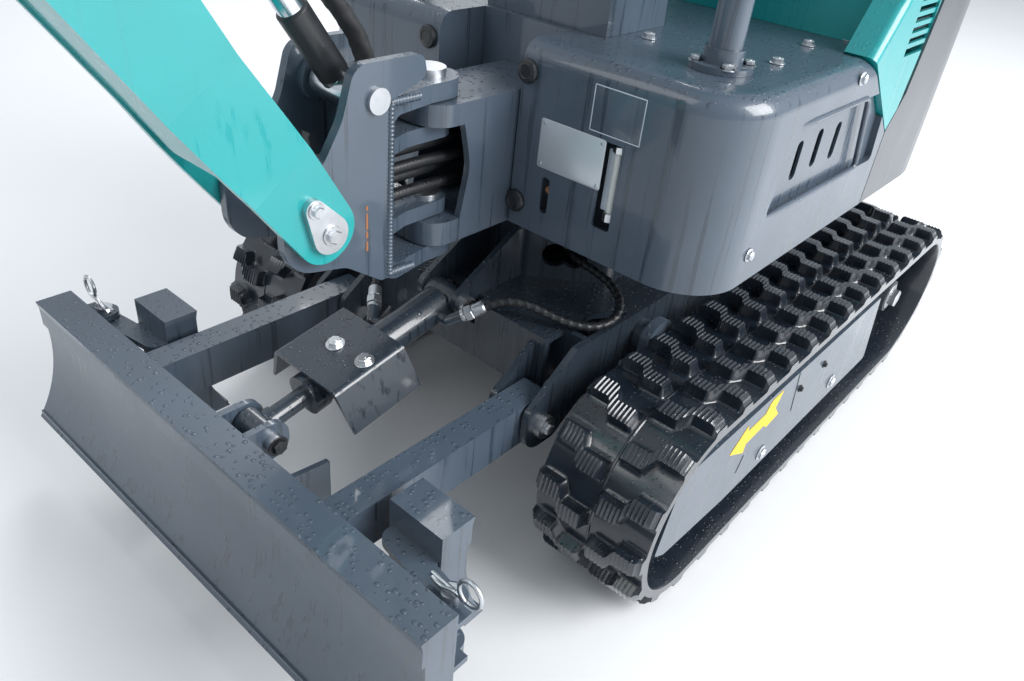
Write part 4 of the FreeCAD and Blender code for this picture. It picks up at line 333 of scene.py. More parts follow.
# %% [markdown]
# ## Small finishes
#
# Plates, paint marks and lamps have their own colours. They are small, so one function with a
# faint cloud in colour and roughness is enough to keep them from looking like flat stickers.


# %% Small finishes
def plain(name, colour, roughness, share=0.15, metallic=0.0):
    """One colour that a cloud darkens by a share and makes a little rougher."""
    made, tree, shader = finish(name, colour, roughness, metallic=metallic)
    cloud = noise(tree, 45.0)
    dark = tuple(v * (1 - share) for v in colour)
    joins(tree, blended(tree, cloud, (*colour, 1), (*dark, 1)), shader, "Base Color")
    joins(tree, (roughness + cloud * 0.15).limited(), shader, "Roughness")
    return made


plate_metal = plain("blank plate", (0.62, 0.66, 0.70), 0.30, 0.1, 0.6)
print_white = plain("pale print", (0.55, 0.62, 0.70), 0.45)
arrow_yellow = plain("arrow yellow", (0.80, 0.52, 0.02), 0.45)
mark_orange = plain("paint mark orange", (0.30, 0.12, 0.05), 0.6)
dark_inside = plain("dark inside", (0.006, 0.006, 0.007), 0.7)
tube_clear = plain("sight tube", (0.70, 0.72, 0.70), 0.2)
print("small finishes ready")

# %% [markdown]
# ## Finishes on the CAD pieces
#
# The imported record already says which material slot each piece belongs to. The script goes
# through the record's list, so a piece that is added later gets its finish without a new line.
# A few pieces are painted in another tone than their slot's. Rod, barrel, rod guard and console
# have their own tones, as on the real machine; the carbody's dark paint is partly its own tone and partly
# painted shade.

# %% Finishes on the CAD pieces
FINISHES = {"grey_paint": grey_paint, "teal_paint": teal_paint, "cast_grey": cast_grey, "steel": steel,
            "zinc": zinc, "chrome": chrome, "track_rubber": track_rubber, "hose_rubber": hose_rubber,
            "black_plastic": black_plastic, "seat_vinyl": seat_vinyl}
slots = {part["node"]: part["material_slot"] for part in frame["record"]["subparts"]}
# The carbody's dark paint is partly its own tone and partly painted shade.
own_tones_and_painted_shade = {"blade_rod": dark_paint, "blade_barrel": dark_paint, "rod_guard": dark_paint,
               "carbody": dark_paint, "console": grey_paint}
for name, cad_piece in frame["nodes"].items():
    cad_piece.data.materials.clear()
    cad_piece.data.materials.append(own_tones_and_painted_shade.get(name, FINISHES[slots[name]]))
print("finished", len(slots), "CAD pieces")

# %% [markdown]
# ## Floor, backdrop and light
#
# The real machine stands outdoors under a bright grey sky, which lights it softly from all
# sides and shines on wet faces. A pale world does that job, and the camera sees it brighter
# than it lights. One large lamp from the rear left gives the house cover its sheen, a second
# from the rear right draws the edges, and a weak one in front fills the blade's shadow.

# %% Sky
SKY_LIGHT, SKY_SEEN = 0.64, 1.0
world = bpy.data.worlds.new("pale sky")
world.use_nodes = True
bpy.context.scene.world = world
sky = world.node_tree
background = sky.nodes["Background"]
background.inputs["Color"].default_value = (0.86, 0.93, 1.0, 1)
rays = sky.nodes.new("ShaderNodeLightPath")
seen = Socket(sky, rays.outputs["Is Camera Ray"]) + Socket(sky, rays.outputs["Is Transmission Ray"])
strength = SKY_LIGHT + seen.limited() * (SKY_SEEN - SKY_LIGHT)
sky.links.new(strength.out, background.inputs["Strength"])
print("sky strength", SKY_LIGHT)

# %% Floor
FLOOR_LIGHT, FLOOR_DARK, FLOOR_REACH = (0.80, 0.81, 0.82), (0.76, 0.77, 0.785), 30
floor_paint, tree, shader = finish("pale floor", FLOOR_LIGHT, 0.65)
joins(tree, blended(tree, noise(tree, 1.6), (*FLOOR_LIGHT, 1), (*FLOOR_DARK, 1)), shader, "Base Color")
floor_mesh = bpy.data.meshes.new("floor")
corners = [(x * FLOOR_REACH, y * FLOOR_REACH, 0) for x, y in ((-1, -1), (1, -1), (1, 1), (-1, 1))]
floor_mesh.from_pydata(corners, [], [(0, 1, 2, 3)])
floor_mesh.materials.append(floor_paint)
floor = bpy.data.objects.new("floor", floor_mesh)
bpy.context.scene.collection.objects.link(floor)
print("floor", 2 * FLOOR_REACH, "m wide")


# %% Lamps
def lamp(name, place, target, size, power):
    """A square area lamp that looks from its place at a target."""
    made = bpy.data.objects.new(name, bpy.data.lights.new(name, "AREA"))
    made.data.size = size
    made.data.energy = power
    made.location = place
    made.rotation_euler = (Vector(target) - Vector(place)).to_track_quat("-Z", "Y").to_euler()
    bpy.context.scene.collection.objects.link(made)
    print(name, power, "W")


lamp("sky window", (4.5, AXIS_Y + 1.2, 3.2), (0.2, AXIS_Y, 0.6), 3.6, 480)
lamp("edge light", (-3.0, AXIS_Y + 2.5, 4.0), (0, AXIS_Y, 0.5), 2.0, 110)
lamp("front light", (-1.2, AXIS_Y - 3.5, 3.4), (0, AXIS_Y - 0.6, 0.4), 2.5, 45)

# %% [markdown]
# ## Turning and sweeping
#
# Nearly every added piece is either turned, like a bolt or a plug, or swept along a line, like
# a hose or a weld. Both are grids of rings: a ring of points is repeated along the piece and
# grows or shrinks. The rings are computed as one numpy array, joined by squares and closed by
# a flat face at each end.


# %% Rings
def ring_faces(rings, around):
    """Squares between rings of points, and a flat face on the first and the last ring."""
    i, j = np.meshgrid(np.arange(rings - 1), np.arange(around), indexing="ij")
    k = (j + 1) % around
    squares = np.stack([i * around + j, i * around + k, (i + 1) * around + k, (i + 1) * around + j], -1)
    low = np.arange(around)[::-1]
    high = np.arange(around) + (rings - 1) * around
    return [tuple(f) for f in squares.reshape(-1, 4).tolist()] + [tuple(low.tolist()), tuple(high.tolist())]


def frame_of(direction):
    """Three directions at right angles, the last of which is the given one."""
    w = np.array(direction, float) / np.linalg.norm(direction)
    u = np.cross([0.0, 0.0, 1.0] if abs(w[2]) < 0.9 else [0.0, 1.0, 0.0], w)
    u /= np.linalg.norm(u)
    return u, np.cross(w, u), w


print("a ring of 4 points, twice, has", len(ring_faces(2, 4)), "faces")


# %% Turned forms
def turned(profile, sides=24, flats=0):
    """Rings (radius, height) in mm. With flats=6 a ring is a hexagon: r / cos(angle to a flat)."""
    profile = np.array(profile, float) / 1000
    a = np.linspace(0, 2 * np.pi, sides, endpoint=False)
    step = 2 * np.pi / flats if flats else 0
    reach = 1 / np.cos((a + step / 2) % step - step / 2) if flats else np.ones(sides)
    shape = np.stack([np.cos(a) * reach, np.sin(a) * reach], -1)
    rings = profile[:, None, :1] * shape[None]
    height = np.broadcast_to(profile[:, None, 1:2], (len(profile), sides, 1))
    return np.concatenate([rings, height], -1).reshape(-1, 3), ring_faces(len(profile), sides)


def standing(form, place, direction):
    """A form turned so that its height runs along a direction, with its foot at a place."""
    points, faces = form
    u, v, w = frame_of(direction)
    return place + points @ np.stack([u, v, w]), faces


print("turned forms ready")


# %% Swept tubes
def swept(path, radius, around, guide=(0.31, 0.17, 0.93)):
    """Tube along points (n, 3): point + radius (cos a u + sin a v), u and v square to the way.

    The radius is an array (n,) or (n, around), or one number, in metres. The guide is a direction
    that the way never takes.
    """
    path = np.array(path, float)
    way = np.gradient(path, axis=0)
    way /= np.linalg.norm(way, axis=1)[:, None]
    u = np.cross(way, guide)
    u /= np.linalg.norm(u, axis=1)[:, None]
    v = np.cross(way, u)
    a = np.linspace(0, 2 * np.pi, around, endpoint=False)
    reach = np.broadcast_to(np.asarray(radius, float).reshape(-1, 1) if np.ndim(radius) == 1 else radius,
                            (len(path), around))
    rings = (path[:, None] + reach[..., None] * (np.cos(a)[None, :, None] * u[:, None]
                                                 + np.sin(a)[None, :, None] * v[:, None]))
    return rings.reshape(-1, 3), ring_faces(len(path), around)


print("swept tubes ready")


# %% Flat plates
def slab(outline, thickness, edge=0.4):
    """Flat plate from an outline (n, 2) in mm with a small bevel on its upper edge."""
    outline = np.array(outline, float)
    middle = outline.mean(0)
    inner = outline - (outline - middle) / np.linalg.norm(outline - middle, axis=1)[:, None] * edge
    rings = [(outline, 0), (outline, thickness - edge * 0.5), (inner, thickness)]
    points = np.concatenate([np.column_stack([o, np.full(len(o), h)]) for o, h in rings]) / 1000
    return points, ring_faces(3, len(outline))


print("flat plates ready")


# %% Pieces
def piece(name, forms, material, body, smooth=30):
    """One object from a list of forms, riding on a body. Edges sharper than an angle stay sharp."""
    points = np.concatenate([f[0] for f in forms])
    faces, first = [], 0
    for form in forms:
        faces += [tuple(i + first for i in face) for face in form[1]]
        first += len(form[0])
    name = name.replace(" ", "_").replace("'", "")
    mesh = bpy.data.meshes.new(name)
    mesh.from_pydata(points.tolist(), [], faces)
    mesh.validate()
    mesh.materials.append(material)
    mesh.polygons.foreach_set("use_smooth", np.ones(len(mesh.polygons), bool))
    mesh.set_sharp_from_angle(angle=math.radians(smooth))
    made = bpy.data.objects.new(name, mesh)
    bpy.context.scene.collection.objects.link(made)
    if body:
        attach(made, body)
    print(name, len(mesh.polygons), "faces")
    return made


print("pieces ready")

# %% [markdown]
# ## Bolts
#
# A hexagon bolt with its washer holds each cover and bracket. Its head is a hexagon prism with
# a round chamfer on top, so washer, head and the low boss on the head are three turned forms,
# and all bolts of one place on the machine are one piece.

# %% Bolts
WASHER_THICK, SUNK = 1.8, 0.2
COVER_TOP, COVER_SIDE, TRACK_SIDE = 705.3, 378.2, 448.2
DECK_BOLTS = [(138, 262), (302, 209), (281, 66), (302, -31), (-302, 209), (-281, 66), (-302, -31)]


def washer(radius, height):
    return turned([(radius - 0.5, 0), (radius, 0.4), (radius, height - 0.4), (radius - 0.5, height)], 28)


def hexagon(flat, low, high):
    """Bolt head or nut: half its width over flats, from a low to a high place."""
    return turned([(flat * 0.96, low), (flat, low + 0.4), (flat, high - 1.2), (flat * 0.86, high)], 24, 6)


def bolt(place, direction, flat=6.5, height=6.0):
    """Washer, head and the boss on the head, from half the width over flats and the head's height."""
    foot = WASHER_THICK - SUNK
    head = foot + height
    forms = [washer(flat * 1.6, WASHER_THICK), hexagon(flat, foot, head),
             turned([(flat * 0.55, head - SUNK), (flat * 0.5, head + 0.3)], 16)]
    return [standing(form, place, direction) for form in forms]


def bolts(name, places, direction, material, body, flat=6.5, height=6.0):
    """One piece made of equal bolts at (x, forward, up) places."""
    forms = []
    for place in places:
        forms += bolt(at(*place), direction, flat, height)
    piece(name, forms, material, body)


def side_bolts(name, across, places, material, body, flat, height):
    """Equal bolts at (forward, up) places on both sides, a piece for each side."""
    for side, hand, out in SIDES:
        bolts(f"{name} {hand}", [(side * across, f, z) for f, z in places], out, material, body, flat, height)


bolts("deck bolts", [(x, f, COVER_TOP) for x, f in DECK_BOLTS], UP, zinc, "house")
side_bolts("cover side bolts", COVER_SIDE, [(320, 494), (95, 688)], zinc, "house", 6.0, 5.0)
side_bolts("track plate bolts", TRACK_SIDE, [(219, 137), (-54, 142)], zinc, "undercarriage", 8.5, 4.8)
side_bolts("track plate screws", TRACK_SIDE, [(124, 216), (31, 220)], black_plastic, "undercarriage",
           4.0, 3.5)

# %% [markdown]
# ## Roof post flanges
#
# Each roof post stands in a round flange with four bolts. The flange is turned, and its bolts
# stand on a circle around the post.

# %% Roof post flanges
POST_X, POST_FORWARD = 272, 304
FLANGE_RADIUS, FLANGE_THICK, BOLT_CIRCLE = 40, 6.2, 33
flange = turned([(FLANGE_RADIUS, 0), (FLANGE_RADIUS, 5), (FLANGE_RADIUS - 1.5, FLANGE_THICK),
                 (27, FLANGE_THICK), (25, 8)], 48)
flanges, screws = [], []
for x in (POST_X, -POST_X):
    flanges.append(standing(flange, at(x, POST_FORWARD, COVER_TOP), UP))
    for turn in (50, 140, 230, 320):
        forward, left = line((POST_FORWARD, x), 90 - turn, BOLT_CIRCLE, 0)
        screws += bolt(at(left, forward, COVER_TOP + FLANGE_THICK), UP, 6.0, 5.5)
piece("post flanges", flanges, grey_paint, "house")
piece("post bolts", screws, zinc, "house")

# %% [markdown]
# ## Cover front: blank plates and plugs
#
# The left cover's front carries a riveted data plate and a printed panel, both left blank
# here, and black plugs close its unused holes. Plates are thin slabs with rounded corners, and
# one function lays any flat form against the sheet.

# %% Cover front
COVER_FRONT, PLATE_THICK, PRINT_THICK = 424.2, 0.8, 0.3
DATA_PLATE, RIVET_OFFSET = (149.5, 581.5), (47, 28)
PRINTED_PANEL, LINE = (211, 650.5), 1.2
PLUGS = [(66, 667), (67, 486), (-120, 668)]


def rounded(width, height, corner=3.0):
    """Outline of a rounded rectangle around (0, 0) in mm: a quarter of a circle at each corner."""
    a = np.linspace(0, np.pi / 2, 6)
    arc = np.stack([np.cos(a), np.sin(a)], -1) * corner
    corners = []
    for turn, (sx, sy) in enumerate(((1, 1), (-1, 1), (-1, -1), (1, -1))):
        t = turn * np.pi / 2
        rotation = np.array([[np.cos(t), np.sin(t)], [-np.sin(t), np.cos(t)]])
        corners.append(arc @ rotation + (sx * (width / 2 - corner), sy * (height / 2 - corner)))
    return np.concatenate(corners)


def on_front(form, x, up, front=COVER_FRONT):
    """A flat form set against the cover's front, its width along X and its height upwards."""
    points, faces = form
    return at(x, front, up) + points @ np.array([[1.0, 0, 0], [0, 0, 1.0], [0, -1.0, 0]]), faces


x, up = DATA_PLATE
piece("data plate", [on_front(slab(rounded(105, 67), PLATE_THICK), x, up)], plate_metal, "house")
rivet = turned([(2.2, 0), (2.0, 0.8), (0.9, 1.3)], 12)
rivets = [on_front(rivet, x + sx * RIVET_OFFSET[0], up + sy * RIVET_OFFSET[1], COVER_FRONT + PLATE_THICK)
          for sx in (1, -1) for sy in (1, -1)]
piece("plate rivets", rivets, zinc, "house")
x, up = PRINTED_PANEL
piece("printed panel", [on_front(slab(rounded(78, 59), PRINT_THICK), x, up)], grey_paint, "house")
border = [on_front(slab(rounded(width, height, 0.5), PRINT_THICK, 0.1), x + dx, up + dz, COVER_FRONT + 0.4)
          for width, height, dx, dz in ((76, LINE, 0, 28.4), (76, LINE, 0, -28.4), (LINE, 56, 37.4, 0),
                                        (LINE, 56, -37.4, 0))]
piece("panel border", border, print_white, "house")
plug = turned([(16, 0), (16, 3), (14, 6), (9, 7.6), (8, 6.8), (2.5, 6.8)], 32)
piece("plugs", [on_front(plug, *place) for place in PLUGS], black_plastic, "house")

# %% [markdown]
# ## Behind the slots
#
# The tall slot shows a pale sight tube held by a steel elbow at its foot and a nut at its top,
# and a blank scale strip. They stand a little behind the sheet, on the cover's inner side, and
# a small lamp glass stands behind the small slot.

# %% Behind the slots
TUBE_X, INSIDE, TUBE_FOOT = 214, 409, 506
tube = turned([(5, 0), (6, 1), (6, 88), (5, 89)], 20)
elbow = turned([(4.5, 0), (4.5, 24)], 16)
glass = turned([(5, 0), (5, 4), (3, 5.5)], 20)
piece("sight tube", [standing(tube, at(TUBE_X, INSIDE, TUBE_FOOT + 12), UP)], tube_clear, "house")
piece("sight tube elbows", [standing(hexagon(8, 0, 12), at(TUBE_X, INSIDE, TUBE_FOOT), UP),
                            standing(hexagon(8, 0, 10), at(TUBE_X, INSIDE, TUBE_FOOT + 94), UP),
                            standing(elbow, at(TUBE_X, INSIDE, TUBE_FOOT + 6), BACK)], zinc, "house")
scale = on_front(slab(rounded(9, 84, 2), 0.6), TUBE_X - 10.5, 560, INSIDE)
piece("scale strip", [scale], print_white, "house")
piece("small slot's lamp", [on_front(glass, 115, 516, 412)], mark_orange, "house")

# %% [markdown]
# ## Track plate arrow
#
# A yellow zigzag arrow on the side plate shows which way the tracks drive. Its outline is a
# list of corners, and it stands off the plate by the thickness of a film.

# %% Track plate arrow
ARROW = [(207, 255), (220, 228), (197, 204), (236, 199), (249, 209), (305, 206), (306, 189), (359, 216),
         (317, 247), (311, 233), (257, 235), (249, 249), (240, 254)]
FILM, ARROW_SIDE = 0.5, TRACK_SIDE - 0.1


def on_side(outline, x, out):
    """An outline (forward, up) as a thin film on a plate that looks left (out = 1) or right (-1)."""
    points = np.array([at(x, f, z) for f, z in outline] + [at(x + out * FILM, f, z) for f, z in outline])
    n = len(outline)
    faces = [tuple(range(n)), tuple(range(2 * n - 1, n - 1, -1))]
    faces += [(i, i + n, (i + 1) % n + n, (i + 1) % n) for i in range(n)]
    return points, faces if out < 0 else [f[::-1] for f in faces]


for side, hand, _ in SIDES:
    arrow = on_side(ARROW, side * ARROW_SIDE, side)
    piece("drive arrow " + hand, [arrow], arrow_yellow, "undercarriage")

# %% [markdown]
# ## Welds
#
# Thick plates are joined by fillet welds, which show as rippled beads along the corners. A
# bead is a thin tube whose radius swells at each ripple: r = r0 (1 + 0.14 sin(2 pi s / ripple)).

# %% Welds
BRACKET_SIDE, SWELL = 58.2, 0.14
BRACKET_WELD = [(610, 664), (654, 664), (654, 446), (612, 444)]
ARM_END, ARM_INNER, ARM_OUTER = 866, 174, 218


def bead(corners, radius, ripple=3.4):
    """Weld along straight runs between (x, forward, up) corners."""
    corners = np.array([at(*c) for c in corners])
    runs = np.linalg.norm(np.diff(corners, axis=0), axis=1)
    place = np.r_[0, np.cumsum(runs)]
    s = np.linspace(0, place[-1], max(12, int(place[-1] * 1000 / ripple * 4)))
    path = np.stack([np.interp(s, place, corners[:, i]) for i in range(3)], -1)
    size = radius / 1000 * (1 + SWELL * np.sin(2 * np.pi * s * 1000 / ripple))
    return swept(path, size, 8)


bracket_welds = [bead([(side * BRACKET_SIDE, f, z) for f, z in BRACKET_WELD], 5.0, 5.0) for side in (1, -1)]
piece("bracket welds", bracket_welds, grey_paint, "bracket", 60)
arm_welds = []
for side in (1, -1):
    for x in (ARM_INNER, ARM_OUTER):
        arm_welds.append(bead([(side * x, ARM_END, 205), (side * x, ARM_END, 266)], 3.0))
    over = [(side * (ARM_INNER + 1), ARM_END, 268), (side * (ARM_OUTER - 1), ARM_END, 268)]
    arm_welds.append(bead(over, 3.0))
piece("blade arm welds", arm_welds, grey_paint, "dozer", 60)

# %% [markdown]
# ## Paint mark
#
# An inspector's brush left four short orange dabs on the swing bracket. They are films, like
# the arrow.

# %% Paint mark
dabs = [on_side([(689, z), (692.5, z), (692, z + high), (689.5, z + high)], 60.05, 1)
        for z, high in ((490, 13), (507, 9), (519, 20), (543, 6))]
piece("paint mark", dabs, mark_orange, "bracket")

# %% [markdown]
# ## Rubber tracks
#
# A rubber track is moulded as one endless belt with two staggered rows of Z-shaped lugs, and
# thin ribs on every lug's tread. The CAD track is a plain loop with blocks, so this belt takes
# its place. It is a height map: each point has a distance along the loop and a place across
# it, and the lug pattern says how far it stands out. The grid leans along the lugs, so that
# their slanted walls stay clean.

# %% Track sizes
BELT_RADIUS, WHEEL_FORWARD, WHEEL_UP, TRACK_MIDDLE = 143.0, 426.0, 163.0, 365.0
HALF_BELT, SHEET, EDGE_SHEET, EDGE_ROUND = 89.9, 13.9, 12.4, 3.4
LUG_RISE, LUG_TOP, LUG_FOOT, LUG_INNER, LUG_BEND = 19.9, 10.5, 15.5, (3, 9), (38, 54)
LEAN, LEAN_BACK, END_FROM, END_FALL = 16, 20, 79, 0.55
RIB_PITCH, RIB_RISE, SEAM_HALF, SEAM_RISE = 6.42, 1.7, 1.0, 1.3
PITCHES, STEPS, ACROSS = 36, 20, 112
LOOP = 4 * WHEEL_FORWARD + 2 * np.pi * BELT_RADIUS
PITCH = LOOP / PITCHES
print("track pitch", round(PITCH, 2), "loop", round(LOOP, 1))


# %% Rubber tracks
def ramp(value, low, high):
    """Smooth step from 0 at low to 1 at high: 3 t^2 - 2 t^3."""
    t = np.clip((value - low) / (high - low), 0, 1)
    return t * t * (3 - 2 * t)


def loop_place(distance):
    """Forward place of the nearest wheel or run, and outward angle, from the top rear tangent on."""
    run, arc = 2 * WHEEL_FORWARD, np.pi * BELT_RADIUS
    zones = [distance < run, distance < run + arc, distance < 2 * run + arc]
    forward = np.select(zones, [distance - WHEEL_FORWARD, WHEEL_FORWARD + 0 * distance,
                                WHEEL_FORWARD + run + arc - distance], -WHEEL_FORWARD)
    over, under = np.pi / 2 + 0 * distance, -np.pi / 2 + 0 * distance
    angle = np.select(zones, [over, over - (distance - run) / BELT_RADIUS, under],
                      under - (distance - 2 * run - arc) / BELT_RADIUS)
    return forward, angle


def belt(side):
    """Belt on the left (side 1) or right (-1): radius = belt radius + height(distance, place across)."""
    a = np.linspace(-HALF_BELT, HALF_BELT, ACROSS)[None]
    reach = np.abs(a)
    lean = LEAN - LEAN_BACK * ramp(reach, *LUG_BEND)
    step = (np.arange(PITCHES * STEPS) * PITCH / STEPS)[:, None]
    offset = np.abs((step + np.where(a > 0, 0, PITCH / 2) + PITCH / 2) % PITCH - PITCH / 2)
    fall = 1 - END_FALL * ramp(reach, END_FROM, HALF_BELT)
    lug = (1 - ramp(offset, LUG_TOP, LUG_FOOT)) * ramp(reach, *LUG_INNER) * fall
    rib = np.clip(np.cos(2 * np.pi * a / RIB_PITCH), 0, 1)
    seam = np.where(reach < SEAM_HALF, SEAM_RISE, 0.0)
    rise = lug * (LUG_RISE - RIB_RISE * (1 - rib)) + (1 - ramp(lug, 0, 0.2)) * seam
    inner = HALF_BELT - EDGE_ROUND
    under = np.array([[HALF_BELT, -EDGE_SHEET], [inner, -SHEET], [30, -SHEET], [-30, -SHEET],
                      [-inner, -SHEET], [-HALF_BELT, -EDGE_SHEET]])
    rows = len(step)
    across = np.concatenate([np.broadcast_to(a, rise.shape), np.tile(under[:, 0], (rows, 1))], 1)
    height = np.concatenate([rise, np.tile(under[:, 1], (rows, 1))], 1)
    under_lean = np.full(len(under), float(LEAN - LEAN_BACK))
    forward, angle = loop_place((step + np.concatenate([lean[0], under_lean])[None]) % LOOP)
    radius = BELT_RADIUS + height
    points = np.stack([side * (TRACK_MIDDLE + across) / 1000,
                       AXIS_Y - (forward + radius * np.cos(angle)) / 1000,
                       (WHEEL_UP + radius * np.sin(angle)) / 1000], -1)
    columns = across.shape[1]
    i, j = np.meshgrid(np.arange(rows), np.arange(columns), indexing="ij")
    i2, j2 = (i + 1) % rows, (j + 1) % columns
    squares = np.stack([i * columns + j, i2 * columns + j, i2 * columns + j2, i * columns + j2], -1)
    squares = squares.reshape(-1, 4)[:, ::-side]
    return points.reshape(-1, 3), [tuple(f) for f in squares.tolist()]


for side, hand, _ in SIDES:
    made = piece("moulded track " + hand, [belt(side)], track_rubber, "undercarriage", 38)
    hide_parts("track_" + hand)

# %% [markdown]
# ## Hoses
#
# Hydraulic hoses leave the machine's middle in bows, long enough for the joint they cross. A
# fitter fixes their two ends and a few places between, and the hose finds a smooth line. A
# NURBS spline of order 3 does the same, and the tube follows points read from it. The blade's
# hoses are wrapped in a plastic spiral against rubbing, which is a ridge that winds around the
# tube. The four hoses through the swing post are plain, so their spiral is hardly raised.

# %% Hose surface
HOSE_SIDES = 14


def along_spline(places, step=2.0):
    """Even points, and distances in mm, on the NURBS spline that the route places hold."""
    curve = bpy.data.curves.new("route", "CURVE")
    curve.dimensions = "3D"
    spline = curve.splines.new("NURBS")
    spline.points.add(len(places) - 1)
    for point, place in zip(spline.points, places):
        point.co = (*at(*place), 1)
    spline.order_u = 3
    spline.use_endpoint_u = True
    spline.resolution_u = 24
    holder = bpy.data.objects.new("route", curve)
    mesh = bpy.data.meshes.new_from_object(holder)
    points = np.array([v.co for v in mesh.vertices])
    bpy.data.objects.remove(holder)
    bpy.data.curves.remove(curve)
    bpy.data.meshes.remove(mesh)
    s = np.r_[0, np.cumsum(np.linalg.norm(np.diff(points, axis=0), axis=1))]
    even = np.linspace(0, s[-1], max(8, int(s[-1] * 1000 / step)))
    return np.stack([np.interp(even, s, points[:, i]) for i in range(3)], -1), even * 1000


def wrapped(places, outer, ridge=1.3, turn=13.0):
    """Hose with a spiral: r = outer - ridge + ridge * max(0, cos(2 pi s / turn - angle))."""
    path, s = along_spline(places)
    a = np.linspace(0, 2 * np.pi, HOSE_SIDES, endpoint=False)[None]
    wind = np.clip(np.cos(2 * np.pi * s[:, None] / turn - a), 0, 1)
    return swept(path, (outer - ridge + ridge * wind) / 1000, HOSE_SIDES)


print("hose surface ready")

# %% Blade hoses
BLADE_HOSE_RADIUS = 7.5
BLADE_HOSES = [
    [(85.9, 492.6, 345.1), (103.4, 479.4, 359.1), (137, 460, 361), (169, 446, 351), (199, 430, 343),
     (224, 405, 340), (233, 371, 344), (219, 339, 353), (189, 322, 363), (155, 318, 370), (121, 316, 373),
     (90, 302, 371), (68, 276, 370)],
    [(-84.8, 552.1, 320.9), (-101.9, 535.1, 330.6), (-114, 506, 342), (-122, 471, 349), (-142, 441, 348),
     (-172, 421, 344), (-200, 399, 341), (-213, 366, 346), (-202, 333, 355), (-174, 316, 364),
     (-140, 314, 371), (-108, 310, 373), (-82, 290, 371), (-64, 262, 370)]]
blade_hoses = [wrapped(route, BLADE_HOSE_RADIUS) for route in BLADE_HOSES]
made = piece("wrapped blade hoses", blade_hoses, hose_rubber, None, 60)
at(0, 330, 365)
at(0, 480, 350)
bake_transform(made)
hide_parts("blade_hoses")

# %% Post hoses
POST_HOSE_RADIUS, PLAIN_RIDGE, PLAIN_TURN = 8.0, 0.25, 6.0
POST_HOSES = [[(x, 308, z), (x + 5, 372, z - 3), (x - 3, 438, z + 2), (0.7 * x, 504, z - 2),
               (0.4 * x + 4, 570, z + 2), (0.5 * x, 652, z)]
              for x, z in ((12, 519), (-14, 537), (14, 555), (-10, 573))]
post_hoses = [wrapped(route, POST_HOSE_RADIUS, PLAIN_RIDGE, PLAIN_TURN) for route in POST_HOSES]
made = piece("post hoses in a bundle", post_hoses, hose_rubber, None, 60)
at(0, 430, 550)
at(0, 630, 550)
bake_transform(made)
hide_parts("post_hoses")

# %% [markdown]
# ## Hose ends
#
# Each blade hose ends in a crimped zinc sleeve, a hexagon nut and a collar on the cylinder's
# elbow. All are turned pieces that slip over the CAD's plain ferrule.

# %% Hose ends
crimped = turned([(9.8, -2), (10.4, 0), (9.9, 3), (10.4, 6), (9.9, 9), (10.4, 12), (9.9, 15), (8.2, 17)])
collar = turned([(9.7, 0), (10.2, 0.5), (10.2, 5), (9.7, 5.5)])
ends = []
for first, second in (route[:2] for route in BLADE_HOSES):
    start, way = at(*first), at(*second) - at(*first)
    way /= np.linalg.norm(way)
    for form, behind in ((crimped, 16), (hexagon(10.6, 0, 12), 31), (collar, 38)):
        ends.append(standing(form, start - way * behind / 1000, way))
piece("hose end sleeves", ends, zinc, "blade_cylinder")

# %% [markdown]
# ## Hose sleeve behind the boom cylinder
#
# The boom's hoses run in one black woven sleeve from the bracket up to the boom. Inside are
# several hoses, so it is flat and slightly lumpy. It is a tube with an elliptic section and a
# few folds: r = a b / sqrt((b cos)^2 + (a sin)^2), times 1 + folds.

# %% Hose sleeve
BOOM_FOOT, BOOM_ANGLE = (759.0, 541.0), 55.6
THIN, WIDE = 10.5, 14.5
SLEEVE = [(0, 634, 644), (-3, 635, 698), (-14, 665, 752)] + [
    (x, *line(BOOM_FOOT, BOOM_ANGLE, along, off))
    for x, along, off in ((-30, 206, 186), (-48, 262, 172), (-62, 318, 142), (-70, 372, 100), (-75, 430, 62),
                          (-76, 490, 44), (-76, 551, 44))]
path, s = along_spline(SLEEVE)
a = np.linspace(0, 2 * np.pi, 28, endpoint=False)[None]
oval = THIN * WIDE / np.sqrt((WIDE * np.cos(a)) ** 2 + (THIN * np.sin(a)) ** 2)
around = 2 * np.pi * s[:, None]
folds = 1 - 0.035 + 0.03 * np.sin(around / 31 + 3 * a) + 0.02 * np.sin(around / 12.5 - 4 * a)
made = piece("woven hose sleeve", [swept(path, oval * folds / 1000, 28, (1, 0, 0.02))], woven_black, None, 60)
at(0, 634, 655)
at(-30, *line(BOOM_FOOT, BOOM_ANGLE, 250, 170))
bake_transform(made)
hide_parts("hose_sleeve")

# %% [markdown]
# ## Boom cylinder rod's lower end
#
# Near its eye the boom cylinder's rod is thicker and painted black, and only the part that
# enters the barrel is chromed.

# %% Rod's lower end
ROD_PIN, ROD_ANGLE = (675.0, 670.0), 54.6
rod_way = np.array([0, -math.cos(math.radians(ROD_ANGLE)), math.sin(math.radians(ROD_ANGLE))])
painted = turned([(17.7, 0), (18.3, 0.6), (18.3, 87), (17.4, 88.5), (15.2, 90)], 40)
rod_end = standing(painted, at(0, *line(ROD_PIN, ROD_ANGLE, 21, 0)), rod_way)
piece("rod's painted end", [rod_end], black_plastic, "boom_cylinder_rod")

# %% [markdown]
# ## Bolts of the dozer's guard and the boom's foot
#
# The guard over the blade cylinder's rod is bolted down. A keeper plate holds the boom's foot
# pin on each side, with one bolt in the pin and one in the plate's end.

